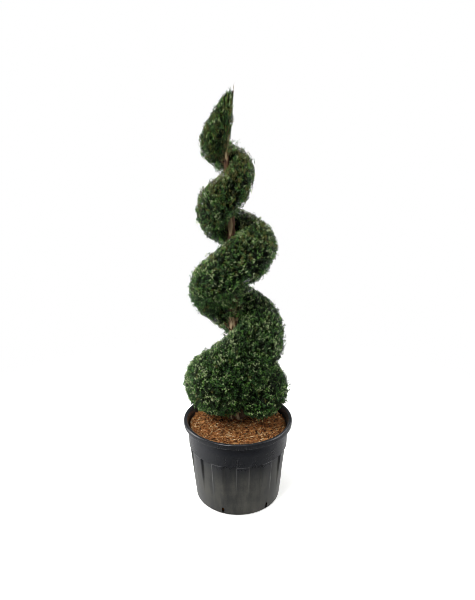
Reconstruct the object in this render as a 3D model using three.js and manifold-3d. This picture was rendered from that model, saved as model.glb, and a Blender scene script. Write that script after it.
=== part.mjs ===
// A clipped conifer trained as a rising spiral, in a black fluted nursery pot.
// Millimetres, +Z up. The origin is the centre of the pot's flat underside, the front faces -Y.
import * as THREE from "three";
import { mergeVertices } from "three/addons/utils/BufferGeometryUtils.js";
import Module from "manifold-3d";

const wasm = await Module();
wasm.setup();

// Pot: a thin moulded container with twelve sunk panels under a plain collar and a rolled rim
const GAP = 0.3;
const POT_HEIGHT = 390;
const RIM_RADIUS = 250;
const RIM_DEPTH = 24;
const RIM_WIDTH = 14;
const RIM_EDGE = 4;
const RIM_UNDERCUT = 2;
const COLLAR_TOP_RADIUS = 232;
const COLLAR_FOOT_RADIUS = 228.5;
const COLLAR_FOOT = 268;
const PANEL_TOP = 262;
const PANEL_TOP_RADIUS = 225;
const PANEL_MIDDLE = 150;
const PANEL_FOOT = 60;
const PANEL_DEPTH = 8;
const PANEL_COUNT = 12;
const PANEL_FIRST = -9.3;
const PANEL_STEPS = [-6.5, 0, 6.5, 8.75, 15, 21.25];
const PANEL_FLAT = 7;
const FOOT_RADIUS = 198;
const FOOT_EDGE = 6;
const POT_WALL = 3;
const POT_FLOOR = 5;
const SLOT_COUNT = 6;
const SLOT_FIRST = -19.5;
const SLOT_WIDTH = 12;
const SLOT_HEIGHT = 28;
const SLOT_FOOT = 8;

// Potting mix: level at the pot's wall, a little higher round the trunk
const SOIL_EDGE_HEIGHT = 352;
const SOIL_HEIGHT = 375;
const SOIL_LEVEL_RADIUS = 90;
const SOIL_RINGS = [190, 140];
const SOIL_CLEARANCE = 4;
const SOIL_LUMP = 3;
const SOIL_LUMP_LENGTH = 150;
const SOIL_SIDES = 36;

// Trunk: its radius and its lean at each height above the floor
const TRUNK = [
  { at: 375, radius: 42, x: 0, y: 30 },
  { at: 395, radius: 33, x: -1, y: 28 },
  { at: 450, radius: 26, x: -5, y: 18 },
  { at: 600, radius: 22, x: -12, y: 6 },
  { at: 830, radius: 19, x: -20, y: 2 },
  { at: 1250, radius: 16, x: -26, y: 0 },
  { at: 1540, radius: 10, x: -45, y: 0 },
  { at: 1620, radius: 8, x: -42, y: 0 },
  { at: 1740, radius: 5, x: -29, y: 0 },
  { at: 1802, radius: 2.5, x: -19, y: 0 },
];
const TRUNK_SIDES = 12;
const FLARE_LOBES = 5;
const FLARE_LOBE = 0.16;
const FLARE_HEIGHT = 45;
const TRUNK_CLEARANCE = 4;
const LEADER_CLEARANCE = 2;
const LEADER_SIDES = 6;

// Spiral of foliage, with a row for at least each half turn: even turns lie on the right and odd
// ones on the left. Each section stands upright on a ray from the axis, with its centre at a height and a
// reach from the axis, and a half width and a half height round that.
const SPIRAL = [
  { at: -0.46, height: 517, reach: 125, wide: 103, tall: 78 },
  { at: 0, height: 540, reach: 123, wide: 114, tall: 121 },
  { at: 0.5, height: 543, reach: 118, wide: 112, tall: 130 },
  { at: 1, height: 558, reach: 114, wide: 117, tall: 142 },
  { at: 1.25, height: 608, reach: 115, wide: 119, tall: 168 },
  { at: 1.5, height: 661, reach: 106, wide: 110, tall: 191 },
  { at: 2, height: 803, reach: 105, wide: 118, tall: 141 },
  { at: 2.5, height: 882, reach: 96, wide: 107, tall: 137 },
  { at: 3, height: 999, reach: 85, wide: 101, tall: 120 },
  { at: 3.5, height: 1122, reach: 84, wide: 98, tall: 118 },
  { at: 4, height: 1194, reach: 90, wide: 99, tall: 99 },
  { at: 4.5, height: 1258, reach: 74, wide: 86, tall: 102 },
  { at: 5, height: 1330, reach: 66, wide: 75, tall: 104 },
  { at: 5.5, height: 1417, reach: 58, wide: 63, tall: 94 },
  { at: 6, height: 1497, reach: 50, wide: 61, tall: 75 },
  { at: 6.5, height: 1548, reach: 52, wide: 60, tall: 70 },
  { at: 7, height: 1603, reach: 53, wide: 59, tall: 66 },
  { at: 7.42, height: 1647, reach: 40, wide: 40, tall: 57 },
];
const START_ROUND = 0.22;
const END_ROUND = 0.35;
const END_SHARE = 0.04;

// Flame-shaped top, which the last half turn runs up into, in level sections
const FLAME = [
  { at: 1556, x: -98, y: -10, wide: 24, deep: 24 },
  { at: 1620, x: -90, y: -10, wide: 60, deep: 50 },
  { at: 1690, x: -70, y: -10, wide: 49, deep: 45 },
  { at: 1763, x: -46, y: -5, wide: 27, deep: 27 },
  { at: 1798, x: -31, y: 0, wide: 14, deep: 11 },
  { at: 1817, x: -16, y: 0, wide: 3, deep: 3 },
];
const CORE = 0.98;
const CORE_SIDES = 12;
const CORE_STEPS = 8;
const CORE_LUMP = 0.03;
const CORE_LUMP_HEIGHT = 190;
const CORE_GAP = 0.01;

// Masses of foliage, from the lowest up, each from one upright cut to the next: the cuts are on the
// right at even turns and on the left at odd ones. The rows and columns count the sprays on each.
const MASSES = [
  { name: "foliage_1_foot", start: -0.46, end: 1, rows: 10, columns: 9 },
  { name: "foliage_2_front", start: 1, end: 2, rows: 9, columns: 9 },
  { name: "foliage_3_back", start: 2, end: 3, rows: 8, columns: 8 },
  { name: "foliage_4_front", start: 3, end: 4, rows: 8, columns: 8 },
  { name: "foliage_5_back", start: 4, end: 5, rows: 7, columns: 7 },
  { name: "foliage_6_front", start: 5, end: 6, rows: 7, columns: 6 },
  { name: "foliage_7_back", start: 6, end: 7, rows: 6, columns: 5 },
  { name: "foliage_8_top", start: 7, end: 7.42, rows: 3, columns: 5 },
];
const TOP_MASS = MASSES.length - 1;
const FLAME_ROWS = 7;
const FLAME_COLUMNS = 6;
const MASS_CUT = 0.25;

// Sprays: toothed blades of needles, with three points on a sunk root
const SPRAY_ROOT = 0.78;
const SPRAY_REACH = 1.07;
const SPRAY_WIDTH = 0.88;
const SPRAY_THICKNESS = 0.2;
const SPRAY_RIDGE = 0.76;
const SPRAY_OUTLINE = [
  [0, 0],
  [0.86, -1],
  [0.74, -0.42],
  [1, 0],
  [0.72, 0.45],
  [0.9, 1],
];
const SPRAY_LEAN = 0.36;
const SPRAY_SWAY = 44;
const SPRAY_ROLL = 50;
const SPRAY_TRIES = 5;
const SPRAY_SCATTER = 0.35;
const SPRAY_UNEVEN = 0.045;
const BARE_SIDE = 52;
const OWN_SPACE = 0.97;
const SPACE_EDGE = 1.1;
const CUT_MARGIN = 1.2;
const SEED = 101;

// Loose wisps that hang below the sheared underside
const WISPS = [
  { at: 6.12, angle: -78, reach: 1.36 },
  { at: 5.94, angle: -64, reach: 1.24 },
  { at: 4.1, angle: -52, reach: 1.14 },
];
const WISP_WIDTH = 0.26;

// Boughs: short limbs from the trunk up into the underside of each mass
const BOUGH_SHARES = [0.3, 0.75];
const BOUGH_ROOT = 0.92;
const BOUGH_TIP = 0.25;
const BOUGH_TIP_REACH = 0.62;
const BOUGH_LOWEST = 35;
const BOUGH_BEND_UP = 0.45;
const BOUGH_BEND_OUT = 0.62;
const BOUGH_THICKNESS = 0.42;
const BOUGH_TAPER = 0.5;
const BOUGH_SIDES = 5;
const BOUGH_STEPS = 2;

const degrees = THREE.MathUtils.degToRad;

// Seeded random numbers, the same on every run
function seeded(seed) {
  let state = seed;
  return () => {
    state = (state + 0x6d2b79f5) | 0;
    let mixed = Math.imul(state ^ (state >>> 15), 1 | state);
    mixed = (mixed + Math.imul(mixed ^ (mixed >>> 7), 61 | mixed)) ^ mixed;
    return ((mixed ^ (mixed >>> 14)) >>> 0) / 4294967296;
  };
}

// A smooth curve through one field of a table, which never overshoots its rows
function through(table, field) {
  const last = table.length - 1;
  const rise = (i) => (table[i + 1][field] - table[i][field]) / (table[i + 1].at - table[i].at);
  const slopes = table.map((row, i) => {
    if (i === 0) return rise(0);
    if (i === last) return rise(last - 1);
    const before = rise(i - 1);
    const after = rise(i);
    return before * after <= 0 ? 0 : (2 * before * after) / (before + after);
  });
  return (wanted) => {
    const at = THREE.MathUtils.clamp(wanted, table[0].at, table[last].at);
    let i = 0;
    while (i < last - 1 && at > table[i + 1].at) i += 1;
    const length = table[i + 1].at - table[i].at;
    const s = (at - table[i].at) / length;
    const start = (1 + 2 * s) * (1 - s) ** 2 * table[i][field];
    const end = s * s * (3 - 2 * s) * table[i + 1][field];
    const startSlope = s * (1 - s) ** 2 * length * slopes[i];
    const endSlope = s * s * (s - 1) * length * slopes[i + 1];
    return start + startSlope + end + endSlope;
  };
}

const trunkRadius = through(TRUNK, "radius");
const trunkX = through(TRUNK, "x");
const trunkY = through(TRUNK, "y");
const spiralHeight = through(SPIRAL, "height");
const spiralReach = through(SPIRAL, "reach");
const spiralWide = through(SPIRAL, "wide");
const spiralTall = through(SPIRAL, "tall");
const flameX = through(FLAME, "x");
const flameY = through(FLAME, "y");
const flameWide = through(FLAME, "wide");
const flameDeep = through(FLAME, "deep");
const SPIRAL_START = SPIRAL[0].at;
const SPIRAL_END = SPIRAL[SPIRAL.length - 1].at;
const TRUNK_TOP = TRUNK[TRUNK.length - 1].at;
const FLAME_FOOT = FLAME[0].at;
const FLAME_TOP = FLAME[FLAME.length - 1].at;

// A geometry with each of its points moved by a function
function reshaped(geometry, move) {
  const position = geometry.getAttribute("position");
  const point = new THREE.Vector3();
  for (let i = 0; i < position.count; i += 1) {
    point.fromBufferAttribute(position, i);
    move(point, i);
    position.setXYZ(i, point.x, point.y, point.z);
  }
  return geometry;
}

// The closed solid that a geometry bounds
function solidOf(geometry) {
  const bare = geometry.clone();
  bare.deleteAttribute("normal");
  bare.deleteAttribute("uv");
  const merged = mergeVertices(bare, 0.001);
  const index = merged.getIndex().array;
  const corners = [];
  for (let i = 0; i < index.length; i += 3) {
    const [a, b, c] = index.slice(i, i + 3);
    if (a !== b && b !== c && c !== a) corners.push(a, b, c);
  }
  const mesh = new wasm.Mesh({
    numProp: 3,
    vertProperties: new Float32Array(merged.getAttribute("position").array),
    triVerts: new Uint32Array(corners),
  });
  return new wasm.Manifold(mesh);
}

function geometryOf(solid) {
  const mesh = solid.getMesh();
  const geometry = new THREE.BufferGeometry();
  geometry.setAttribute("position", new THREE.BufferAttribute(mesh.vertProperties, 3));
  geometry.setIndex(new THREE.BufferAttribute(mesh.triVerts, 1));
  geometry.computeVertexNormals();
  return geometry;
}

// The largest body of a solid, with its loose scraps dropped and its sealed hollows filled
function mainBody(solid) {
  const pieces = solid.decompose();
  pieces.sort((one, other) => other.volume() - one.volume());
  return pieces[0];
}

// A turned shape about the Z axis from a profile of [radius, height] rows, the front at angle 0
function turned(profile, sides) {
  const points = profile.map(([radius, height]) => new THREE.Vector2(radius, height));
  return new THREE.LatheGeometry(points, sides).rotateX(Math.PI / 2);
}

// A turned shape with the pot's own angles, its panels sunk by a depth for each height
function panelled(profile, depthAt) {
  const steps = PANEL_STEPS.length;
  const period = 360 / PANEL_COUNT;
  const geometry = turned(profile, PANEL_COUNT * steps);
  return reshaped(geometry, (point, i) => {
    const column = Math.floor(i / profile.length);
    const step = column % steps;
    const within = PANEL_STEPS[step];
    const angle = degrees(PANEL_FIRST + Math.floor(column / steps) * period + within);
    const sunk = Math.abs(within) < PANEL_FLAT ? depthAt(i % profile.length) : 0;
    const radius = Math.max(0, Math.hypot(point.x, point.y) - sunk);
    point.set(radius * Math.sin(angle), -radius * Math.cos(angle), point.z);
  });
}

// How far a panel is sunk at a height: from nothing at its foot to its full depth at the top
function panelDepth(height) {
  if (height > PANEL_TOP) return 0;
  return PANEL_DEPTH * THREE.MathUtils.smoothstep(height, PANEL_FOOT, PANEL_TOP);
}

function wallRadius(height) {
  const share = (height - FOOT_EDGE) / (PANEL_TOP - FOOT_EDGE);
  return FOOT_RADIUS + share * (PANEL_TOP_RADIUS - FOOT_RADIUS);
}

function potSolid() {
  const rimFoot = POT_HEIGHT - RIM_DEPTH;
  const outside = [
    [0, 0],
    [FOOT_RADIUS - FOOT_EDGE, 0],
    [FOOT_RADIUS, FOOT_EDGE],
    [wallRadius(PANEL_FOOT), PANEL_FOOT],
    [wallRadius(PANEL_MIDDLE), PANEL_MIDDLE],
    [PANEL_TOP_RADIUS, PANEL_TOP],
    [COLLAR_FOOT_RADIUS, COLLAR_FOOT],
    [COLLAR_TOP_RADIUS, rimFoot - RIM_UNDERCUT],
    [RIM_RADIUS, rimFoot],
    [RIM_RADIUS, POT_HEIGHT - RIM_EDGE],
    [RIM_RADIUS - RIM_EDGE, POT_HEIGHT],
    [RIM_RADIUS - RIM_WIDTH, POT_HEIGHT],
  ];
  const inside = [
    [COLLAR_TOP_RADIUS - POT_WALL, rimFoot],
    [COLLAR_FOOT_RADIUS - POT_WALL, COLLAR_FOOT],
    [PANEL_TOP_RADIUS - POT_WALL, PANEL_TOP],
    [wallRadius(PANEL_MIDDLE) - POT_WALL, PANEL_MIDDLE],
    [FOOT_RADIUS - POT_WALL, POT_FLOOR],
    [0, POT_FLOOR],
  ];
  const profile = [...outside, ...inside];
  let pot = solidOf(panelled(profile, (row) => panelDepth(profile[row][1])));
  for (let i = 0; i < SLOT_COUNT; i += 1) {
    const angle = degrees(SLOT_FIRST + (i * 360) / SLOT_COUNT);
    const slot = new THREE.BoxGeometry(SLOT_WIDTH, 8 * POT_WALL, SLOT_HEIGHT);
    slot.translate(0, -FOOT_RADIUS, SLOT_FOOT + SLOT_HEIGHT / 2).rotateZ(angle);
    pot = pot.subtract(solidOf(slot));
  }
  return pot;
}

// A smooth lumpiness between -1 and 1, from a place along a shape and an angle round it
function lumps(along, angle) {
  return Math.sin(7.3 * along + 2 * angle) * Math.cos(4.1 * along - 3 * angle);
}

// The potting mix stands a little clear of the pot's wall and of its sunk panels
function soilSolid() {
  const slope = (SOIL_HEIGHT - SOIL_EDGE_HEIGHT) / (COLLAR_TOP_RADIUS - SOIL_LEVEL_RADIUS);
  const sloped = (radius) => SOIL_HEIGHT - slope * (radius - SOIL_LEVEL_RADIUS);
  const topRings = [COLLAR_FOOT_RADIUS - SOIL_CLEARANCE, ...SOIL_RINGS, SOIL_LEVEL_RADIUS];
  const profile = [
    [0, POT_FLOOR + GAP],
    [FOOT_RADIUS - PANEL_DEPTH - SOIL_CLEARANCE, POT_FLOOR + GAP],
    [PANEL_TOP_RADIUS - PANEL_DEPTH - SOIL_CLEARANCE, COLLAR_FOOT],
    [COLLAR_FOOT_RADIUS - SOIL_CLEARANCE, COLLAR_FOOT + 2 * PANEL_DEPTH],
    ...topRings.map((radius) => [radius, sloped(radius)]),
    [0, SOIL_HEIGHT],
  ];
  return solidOf(reshaped(turned(profile, SOIL_SIDES), (point) => {
    const radius = Math.hypot(point.x, point.y);
    if (point.z < SOIL_EDGE_HEIGHT - 1 || radius < SOIL_LEVEL_RADIUS + 1) return;
    point.z += SOIL_LUMP * lumps(radius / SOIL_LUMP_LENGTH, Math.atan2(point.y, point.x));
  }));
}

// The trunk, or the space it takes when it is grown by a clearance, with a ring at each row of its
// table and one between
function trunkSolid(clearance, sides) {
  const foot = SOIL_HEIGHT + GAP - clearance;
  const profile = [[0, foot], [TRUNK[0].radius + clearance, foot]];
  for (let i = 1; i < TRUNK.length; i += 1) {
    const middle = (TRUNK[i - 1].at + TRUNK[i].at) / 2;
    for (const height of [middle, TRUNK[i].at]) profile.push([trunkRadius(height) + clearance, height]);
  }
  profile.push([0, TRUNK_TOP + clearance]);
  return solidOf(reshaped(turned(profile, sides), (point) => {
    const angle = Math.atan2(point.y, point.x);
    const fade = Math.exp(-(point.z - SOIL_HEIGHT) / FLARE_HEIGHT);
    const lobe = 1 + FLARE_LOBE * fade * Math.cos(FLARE_LOBES * angle);
    point.x = trunkX(point.z) + point.x * lobe;
    point.y = trunkY(point.z) + point.y * lobe;
  }));
}

// How much a section shrinks towards the spiral's two rounded ends
function endFade(turn) {
  const start = THREE.MathUtils.clamp((turn - SPIRAL_START) / START_ROUND, 0, 1);
  const end = THREE.MathUtils.clamp((SPIRAL_END - turn) / END_ROUND, 0, 1);
  const round = (share) => Math.sqrt(1 - (1 - share) ** 2);
  return END_SHARE + (1 - END_SHARE) * Math.min(round(start), round(end));
}

// A point of the spiral at a turn, at an angle round the section (0 outwards, 90 up), and at a
// share of the way from the section's centre to the clipped outline
function spiralPoint(turn, angle, share, clearance = TRUNK_CLEARANCE) {
  const fade = endFade(turn) * share;
  const out = spiralReach(turn) + spiralWide(turn) * fade * Math.cos(angle);
  const height = spiralHeight(turn) + spiralTall(turn) * fade * Math.sin(angle);
  const reach = Math.max(trunkRadius(height) + clearance, out);
  const around = Math.PI * turn;
  const x = trunkX(height) + reach * Math.cos(around);
  const y = trunkY(height) + reach * Math.sin(around);
  return new THREE.Vector3(x, y, height);
}

// The same for the flame-shaped top, at a height and an angle in the level section
function flamePoint(height, angle, share) {
  const x = flameX(height) + flameWide(height) * share * Math.cos(angle);
  const y = flameY(height) + flameDeep(height) * share * Math.sin(angle);
  return new THREE.Vector3(x, y, height);
}

// Where a point lies on the spiral: for each turn that passes its side, the share of the way out
function spiralPlaces(point) {
  const x = point.x - trunkX(point.z);
  const y = point.y - trunkY(point.z);
  const side = Math.atan2(y, x) / Math.PI;
  const places = [];
  for (let turn = side; turn < SPIRAL_END; turn += 2) {
    if (turn <= SPIRAL_START) continue;
    const out = (Math.hypot(x, y) - spiralReach(turn)) / spiralWide(turn);
    const up = (point.z - spiralHeight(turn)) / spiralTall(turn);
    places.push({ turn, share: Math.hypot(out, up) / endFade(turn) });
  }
  return places;
}

function flameShare(point) {
  if (point.z < FLAME_FOOT || point.z > FLAME_TOP + 20) return Infinity;
  const out = (point.x - flameX(point.z)) / flameWide(point.z);
  const deep = (point.y - flameY(point.z)) / flameDeep(point.z);
  return Math.hypot(out, deep);
}

// Whether a point lies in the space of one mass, clear of its cuts and of the masses beside it
function inOwnSpace(point, mass, edge) {
  const { start, end } = MASSES[mass];
  const top = mass === TOP_MASS;
  const reach = Math.hypot(point.x - trunkX(point.z), point.y - trunkY(point.z));
  const margin = CUT_MARGIN / (Math.PI * Math.max(reach, 1));
  let own = top ? flameShare(point) : Infinity;
  let other = top ? Infinity : flameShare(point);
  for (const { turn, share } of spiralPlaces(point)) {
    if (turn > start + margin && turn < end - margin) own = Math.min(own, share);
    else other = Math.min(other, share);
  }
  return own < Math.min(OWN_SPACE * other, edge);
}

// The slimmer core of one mass, lumpy like a sheared surface, its cut ends set back a little.
// Grown, it is the space that its neighbours keep out of.
function coreSolid(mass, grown) {
  const share = grown ? CORE + CORE_GAP : CORE;
  const clearance = grown ? TRUNK_CLEARANCE - 2 * GAP : TRUNK_CLEARANCE;
  const { start, end } = MASSES[mass];
  const steps = Math.ceil(CORE_STEPS * (end - start));
  const tube = new THREE.CylinderGeometry(1, 1, 1, CORE_SIDES, steps);
  const core = solidOf(reshaped(tube, (point) => {
    const step = Math.round((point.y + 0.5) * steps);
    const turn = start + (step / steps) * (end - start);
    const angle = Math.atan2(point.z, point.x);
    const out = Math.hypot(point.x, point.z) * share * (1 + CORE_LUMP * lumps(turn, angle));
    point.copy(spiralPoint(turn, angle, out, clearance));
    const cut = (step === 0 && turn > SPIRAL_START) || (step === steps && turn < SPIRAL_END);
    if (!cut) return;
    const along = step === 0 ? MASS_CUT : -MASS_CUT;
    point.x -= along * Math.sin(Math.PI * turn);
    point.y += along * Math.cos(Math.PI * turn);
  }));
  return mass === TOP_MASS ? core.add(flameCore(share)) : core;
}

function flameCore(share) {
  const height = FLAME_TOP - FLAME_FOOT;
  const tube = new THREE.CylinderGeometry(1, 1, 1, CORE_SIDES, CORE_STEPS).rotateX(Math.PI / 2);
  return solidOf(reshaped(tube, (point) => {
    const level = FLAME_FOOT + (point.z + 0.5) * height;
    const angle = Math.atan2(point.y, point.x);
    const lump = lumps(level / CORE_LUMP_HEIGHT, angle);
    const out = Math.hypot(point.x, point.y) * share * (1 + CORE_LUMP * lump);
    point.copy(flamePoint(level, angle, out));
  }));
}

// A toothed blade from its root to its middle point, its flat side turned across a direction
function bladeSolid(root, tip, across, width) {
  const along = tip.clone().sub(root);
  const length = along.length();
  along.normalize();
  const side = across.clone().addScaledVector(along, -across.dot(along)).normalize();
  const face = side.clone().cross(along);
  const at = (forward, sideways, up) => root.clone()
    .addScaledVector(along, forward * length)
    .addScaledVector(side, (sideways * width * length) / 2)
    .addScaledVector(face, (up * length) / 2);
  const edge = SPRAY_OUTLINE.map(([forward, sideways]) => at(forward, sideways, 0));
  const ridges = [at(SPRAY_RIDGE, 0, SPRAY_THICKNESS), at(SPRAY_RIDGE, 0, -SPRAY_THICKNESS)];
  const front = edge.length;
  const corners = [];
  for (let i = 0; i < edge.length; i += 1) {
    const next = (i + 1) % edge.length;
    corners.push(i, front, next, i, next, front + 1);
  }
  const points = [...edge, ...ridges];
  const geometry = new THREE.BufferGeometry().setFromPoints(points);
  geometry.setIndex(corners);
  return { blade: solidOf(geometry), points };
}

// A spray's blade slants across the surface, so that its flat side shows, except beside a cut,
// where it stands on edge. It is nothing where it would leave its space or touch its neighbours.
function slantedBlade(mass, random, pointAt, spot, neighbours) {
  const { at, angle, reach, width, sway, beside } = spot;
  const root = pointAt(at, angle, SPRAY_ROOT);
  const foot = pointAt(at, angle, 1);
  const slant = 2 * Math.PI * random();
  const tip = pointAt(at + sway * Math.cos(slant), angle + SPRAY_LEAN * Math.sin(slant), reach);
  const along = tip.clone().sub(root).normalize();
  const roll = beside ? 0 : degrees(SPRAY_ROLL) * (random() - 0.5);
  const across = beside ? pointAt(at, angle + SPRAY_LEAN, 1).sub(foot) : foot.sub(root).cross(along);
  const { blade, points } = bladeSolid(root, tip, across.applyAxisAngle(along, roll), width);
  const edge = Math.max(SPACE_EDGE, reach + CORE_GAP);
  const clear = points.every((point) => inOwnSpace(point, mass, edge));
  return clear && blade.minGap(neighbours, 2 * GAP) > GAP ? blade : null;
}

// The sprays that grow at a list of spots, each at the first slant that keeps to its space
function sprays(mass, random, pointAt, spots, neighbours) {
  const grown = [];
  for (const spot of spots) {
    let blade = null;
    for (let i = 0; i < SPRAY_TRIES && !blade; i += 1) {
      blade = slantedBlade(mass, random, pointAt, spot, neighbours);
    }
    if (blade) grown.push(blade);
  }
  return grown;
}

// Staggered spots round one length of the spiral, and its wisps
function spiralSpots(mass, random) {
  const { start, end, rows, columns } = MASSES[mass];
  const open = 360 - 2 * BARE_SIDE;
  const spots = [];
  for (let row = 0; row < rows; row += 1) {
    const beside = (row === 0 && start > SPIRAL_START) || (row === rows - 1 && end < SPIRAL_END);
    for (let column = 0; column < columns; column += 1) {
      const at = start + ((row + 0.5 + SPRAY_SCATTER * (random() - 0.5)) / rows) * (end - start);
      const across = column + (row % 2) / 2 + 0.25 + SPRAY_SCATTER * (random() - 0.5);
      const angle = degrees(BARE_SIDE - 180 + (across / columns) * open);
      const reach = SPRAY_REACH + SPRAY_UNEVEN * random();
      const around = Math.PI * (spiralReach(at) + spiralWide(at) / 2);
      const sway = beside ? 0 : SPRAY_SWAY / around;
      spots.push({ at, angle, reach, width: SPRAY_WIDTH, sway, beside });
    }
  }
  for (const { at, angle, reach } of WISPS) {
    if (at < start || at > end) continue;
    spots.push({ at, angle: degrees(angle), reach, width: WISP_WIDTH, sway: 0, beside: false });
  }
  return spots;
}

// Staggered spots round the flame-shaped top
function flameSpots(random) {
  const spots = [];
  for (let row = 0; row < FLAME_ROWS; row += 1) {
    for (let column = 0; column < FLAME_COLUMNS; column += 1) {
      const up = (row + 0.6 + SPRAY_SCATTER * random()) / (FLAME_ROWS + 1);
      const at = FLAME_FOOT + up * (FLAME_TOP - FLAME_FOOT);
      const around = (column + (row % 2) / 2 + SPRAY_SCATTER * random()) / FLAME_COLUMNS;
      const reach = SPRAY_REACH + SPRAY_UNEVEN * random();
      const angle = 2 * Math.PI * around;
      spots.push({ at, angle, reach, width: SPRAY_WIDTH, sway: SPRAY_SWAY / 2, beside: false });
    }
  }
  return spots;
}

function massSprays(mass, neighbours) {
  const random = seeded(SEED + mass);
  const spots = spiralSpots(mass, random);
  const grown = sprays(mass, random, spiralPoint, spots, neighbours);
  if (mass < TOP_MASS) return grown;
  return [...grown, ...sprays(mass, random, flamePoint, flameSpots(random), neighbours)];
}

// A bough on the side of one turn: from the trunk, out and up into the underside of its mass
function boughSolid(turn) {
  const around = Math.PI * turn;
  const rootHeight = spiralHeight(turn) - BOUGH_ROOT * spiralTall(turn);
  const tipHeight = spiralHeight(turn) - BOUGH_TIP * spiralTall(turn);
  const tipReach = BOUGH_TIP_REACH * spiralReach(turn);
  const foot = Math.max(rootHeight, SOIL_HEIGHT + BOUGH_LOWEST);
  const pathPoint = (up, out) => {
    const height = foot + up * (tipHeight - foot);
    const x = trunkX(height) + out * tipReach * Math.cos(around);
    const y = trunkY(height) + out * tipReach * Math.sin(around);
    return new THREE.Vector3(x, y, height);
  };
  const path = new THREE.CatmullRomCurve3([
    pathPoint(0, 0),
    pathPoint(BOUGH_BEND_UP, BOUGH_BEND_OUT),
    pathPoint(1, 1),
  ]);
  const frames = path.computeFrenetFrames(BOUGH_STEPS);
  const root = BOUGH_THICKNESS * trunkRadius(foot);
  const limb = new THREE.CylinderGeometry(BOUGH_TAPER * root, root, 1, BOUGH_SIDES, BOUGH_STEPS);
  return solidOf(reshaped(limb, (point) => {
    const step = Math.round((point.y + 0.5) * BOUGH_STEPS);
    const { x, z } = point;
    point.copy(path.getPointAt(step / BOUGH_STEPS))
      .addScaledVector(frames.binormals[step], x)
      .addScaledVector(frames.normals[step], z);
  }));
}

// Assembly of the named parts
const finish = (color, roughness) => new THREE.MeshStandardMaterial({ color, roughness, metalness: 0 });
const POT_FINISH = finish(0x2a2c2f, 0.45);
const SOIL_FINISH = finish(0x6b3a1c, 0.95);
const BARK_FINISH = finish(0x7a4a33, 0.85);
const NEEDLE_FINISH = finish(0x24401e, 0.8);

const topiary = new THREE.Group();
function place(name, solid, material) {
  const mesh = new THREE.Mesh(geometryOf(solid), material);
  mesh.name = name;
  topiary.add(mesh);
}

const trunk = trunkSolid(0, TRUNK_SIDES);
const trunkSpace = trunkSolid(GAP, TRUNK_SIDES);
const leaderSpace = trunkSolid(LEADER_CLEARANCE, LEADER_SIDES);
place("pot", potSolid(), POT_FINISH);
place("soil", soilSolid(), SOIL_FINISH);
place("trunk", trunk, BARK_FINISH);

const spaces = MASSES.map((_, mass) => coreSolid(mass, true));
const boughs = MASSES.flatMap(({ start, end }, mass) => {
  const taken = trunkSpace.add(spaces[mass]);
  return BOUGH_SHARES.map((share, i) => {
    const bough = mainBody(boughSolid(start + share * (end - start)).subtract(taken));
    place(`bough_${mass + 1}_${"ab"[i]}`, bough, BARK_FINISH);
    return bough;
  });
});

const finished = [];
MASSES.forEach(({ name }, mass) => {
  let core = coreSolid(mass, false);
  for (const below of spaces.slice(Math.max(0, mass - 2), mass)) core = core.subtract(below);
  if (mass === TOP_MASS) core = core.subtract(leaderSpace);
  const beside = [...finished.slice(-2), ...spaces.slice(mass + 1, mass + 3)];
  const neighbours = wasm.Manifold.union([trunk, ...boughs, ...beside]);
  const foliage = [mainBody(core), ...massSprays(mass, neighbours)];
  finished.push(mainBody(wasm.Manifold.union(foliage)));
  place(name, finished[mass], NEEDLE_FINISH);
});

export default topiary;
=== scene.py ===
"""A clipped spiral topiary in its fluted nursery pot, with a plain stage and the camera."""

import math

import bmesh
import bpy
import numpy as np
from bpy.props import FloatProperty, FloatVectorProperty, IntProperty, PointerProperty
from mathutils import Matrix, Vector, noise


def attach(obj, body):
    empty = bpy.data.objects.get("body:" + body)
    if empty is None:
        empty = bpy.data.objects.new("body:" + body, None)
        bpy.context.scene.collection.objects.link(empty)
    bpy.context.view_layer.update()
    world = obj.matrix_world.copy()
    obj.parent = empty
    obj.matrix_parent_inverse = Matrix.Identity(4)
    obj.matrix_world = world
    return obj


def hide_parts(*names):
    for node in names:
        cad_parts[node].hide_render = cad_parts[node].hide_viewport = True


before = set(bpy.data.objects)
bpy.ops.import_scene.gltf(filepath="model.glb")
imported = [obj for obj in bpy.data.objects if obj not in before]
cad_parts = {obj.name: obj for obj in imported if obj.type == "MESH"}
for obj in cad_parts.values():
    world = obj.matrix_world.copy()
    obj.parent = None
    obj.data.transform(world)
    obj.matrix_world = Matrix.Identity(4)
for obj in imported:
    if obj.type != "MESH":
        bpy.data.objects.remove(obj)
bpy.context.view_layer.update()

bl_info = {
    "name": "Spiral topiary",
    "version": (1, 0, 0),
    "blender": (4, 5, 0),
    "location": "View3D > Sidebar > Topiary",
    "description": "Builds a clipped spiral topiary in a nursery pot, and its stage",
    "category": "Object",
}

MM = 0.001

# Seeds: of the fibres and the masses, of the hollows, of the patches and of the twigs
SEED = 4021
HOLLOW_SEED = SEED + 3
PATCH_SEED = SEED + 7
TWIG_SEED = SEED + 500

# Pot, in millimetres and degrees: a thin moulded container with sunk panels under a plain collar
POT_HEIGHT = 390
RIM_RADIUS = 250
RIM_DEPTH = 24
RIM_WIDTH = 14
RIM_UNDERCUT = 2
COLLAR_TOP_RADIUS = 232
COLLAR_FOOT_RADIUS = 228.5
COLLAR_FOOT = 268
PANEL_TOP = 262
PANEL_TOP_RADIUS = 225
PANEL_FOOT = 60
PANEL_COUNT = 12
PANEL_FIRST = -9.3
PANEL_FLAT = 6.4
PANEL_EDGE = 8.8
PANEL_ROW = 7
FOOT_RADIUS = 198
FOOT_EDGE = 6
POT_WALL = 3
POT_FLOOR = 5
POT_STEPS = 432
SLOT_COUNT = 6
SLOT_FIRST = -19.5
SLOT_WIDTH = 12
SLOT_HEIGHT = 28
SLOT_FOOT = 8
SLOT_DEPTH = 24

# Edges of the pot, in degrees between their two faces: from where the rim's are rounded, and from
# where an edge looks sharp
ROUNDED_EDGE = 40
SHARP_EDGE = 24

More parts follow.
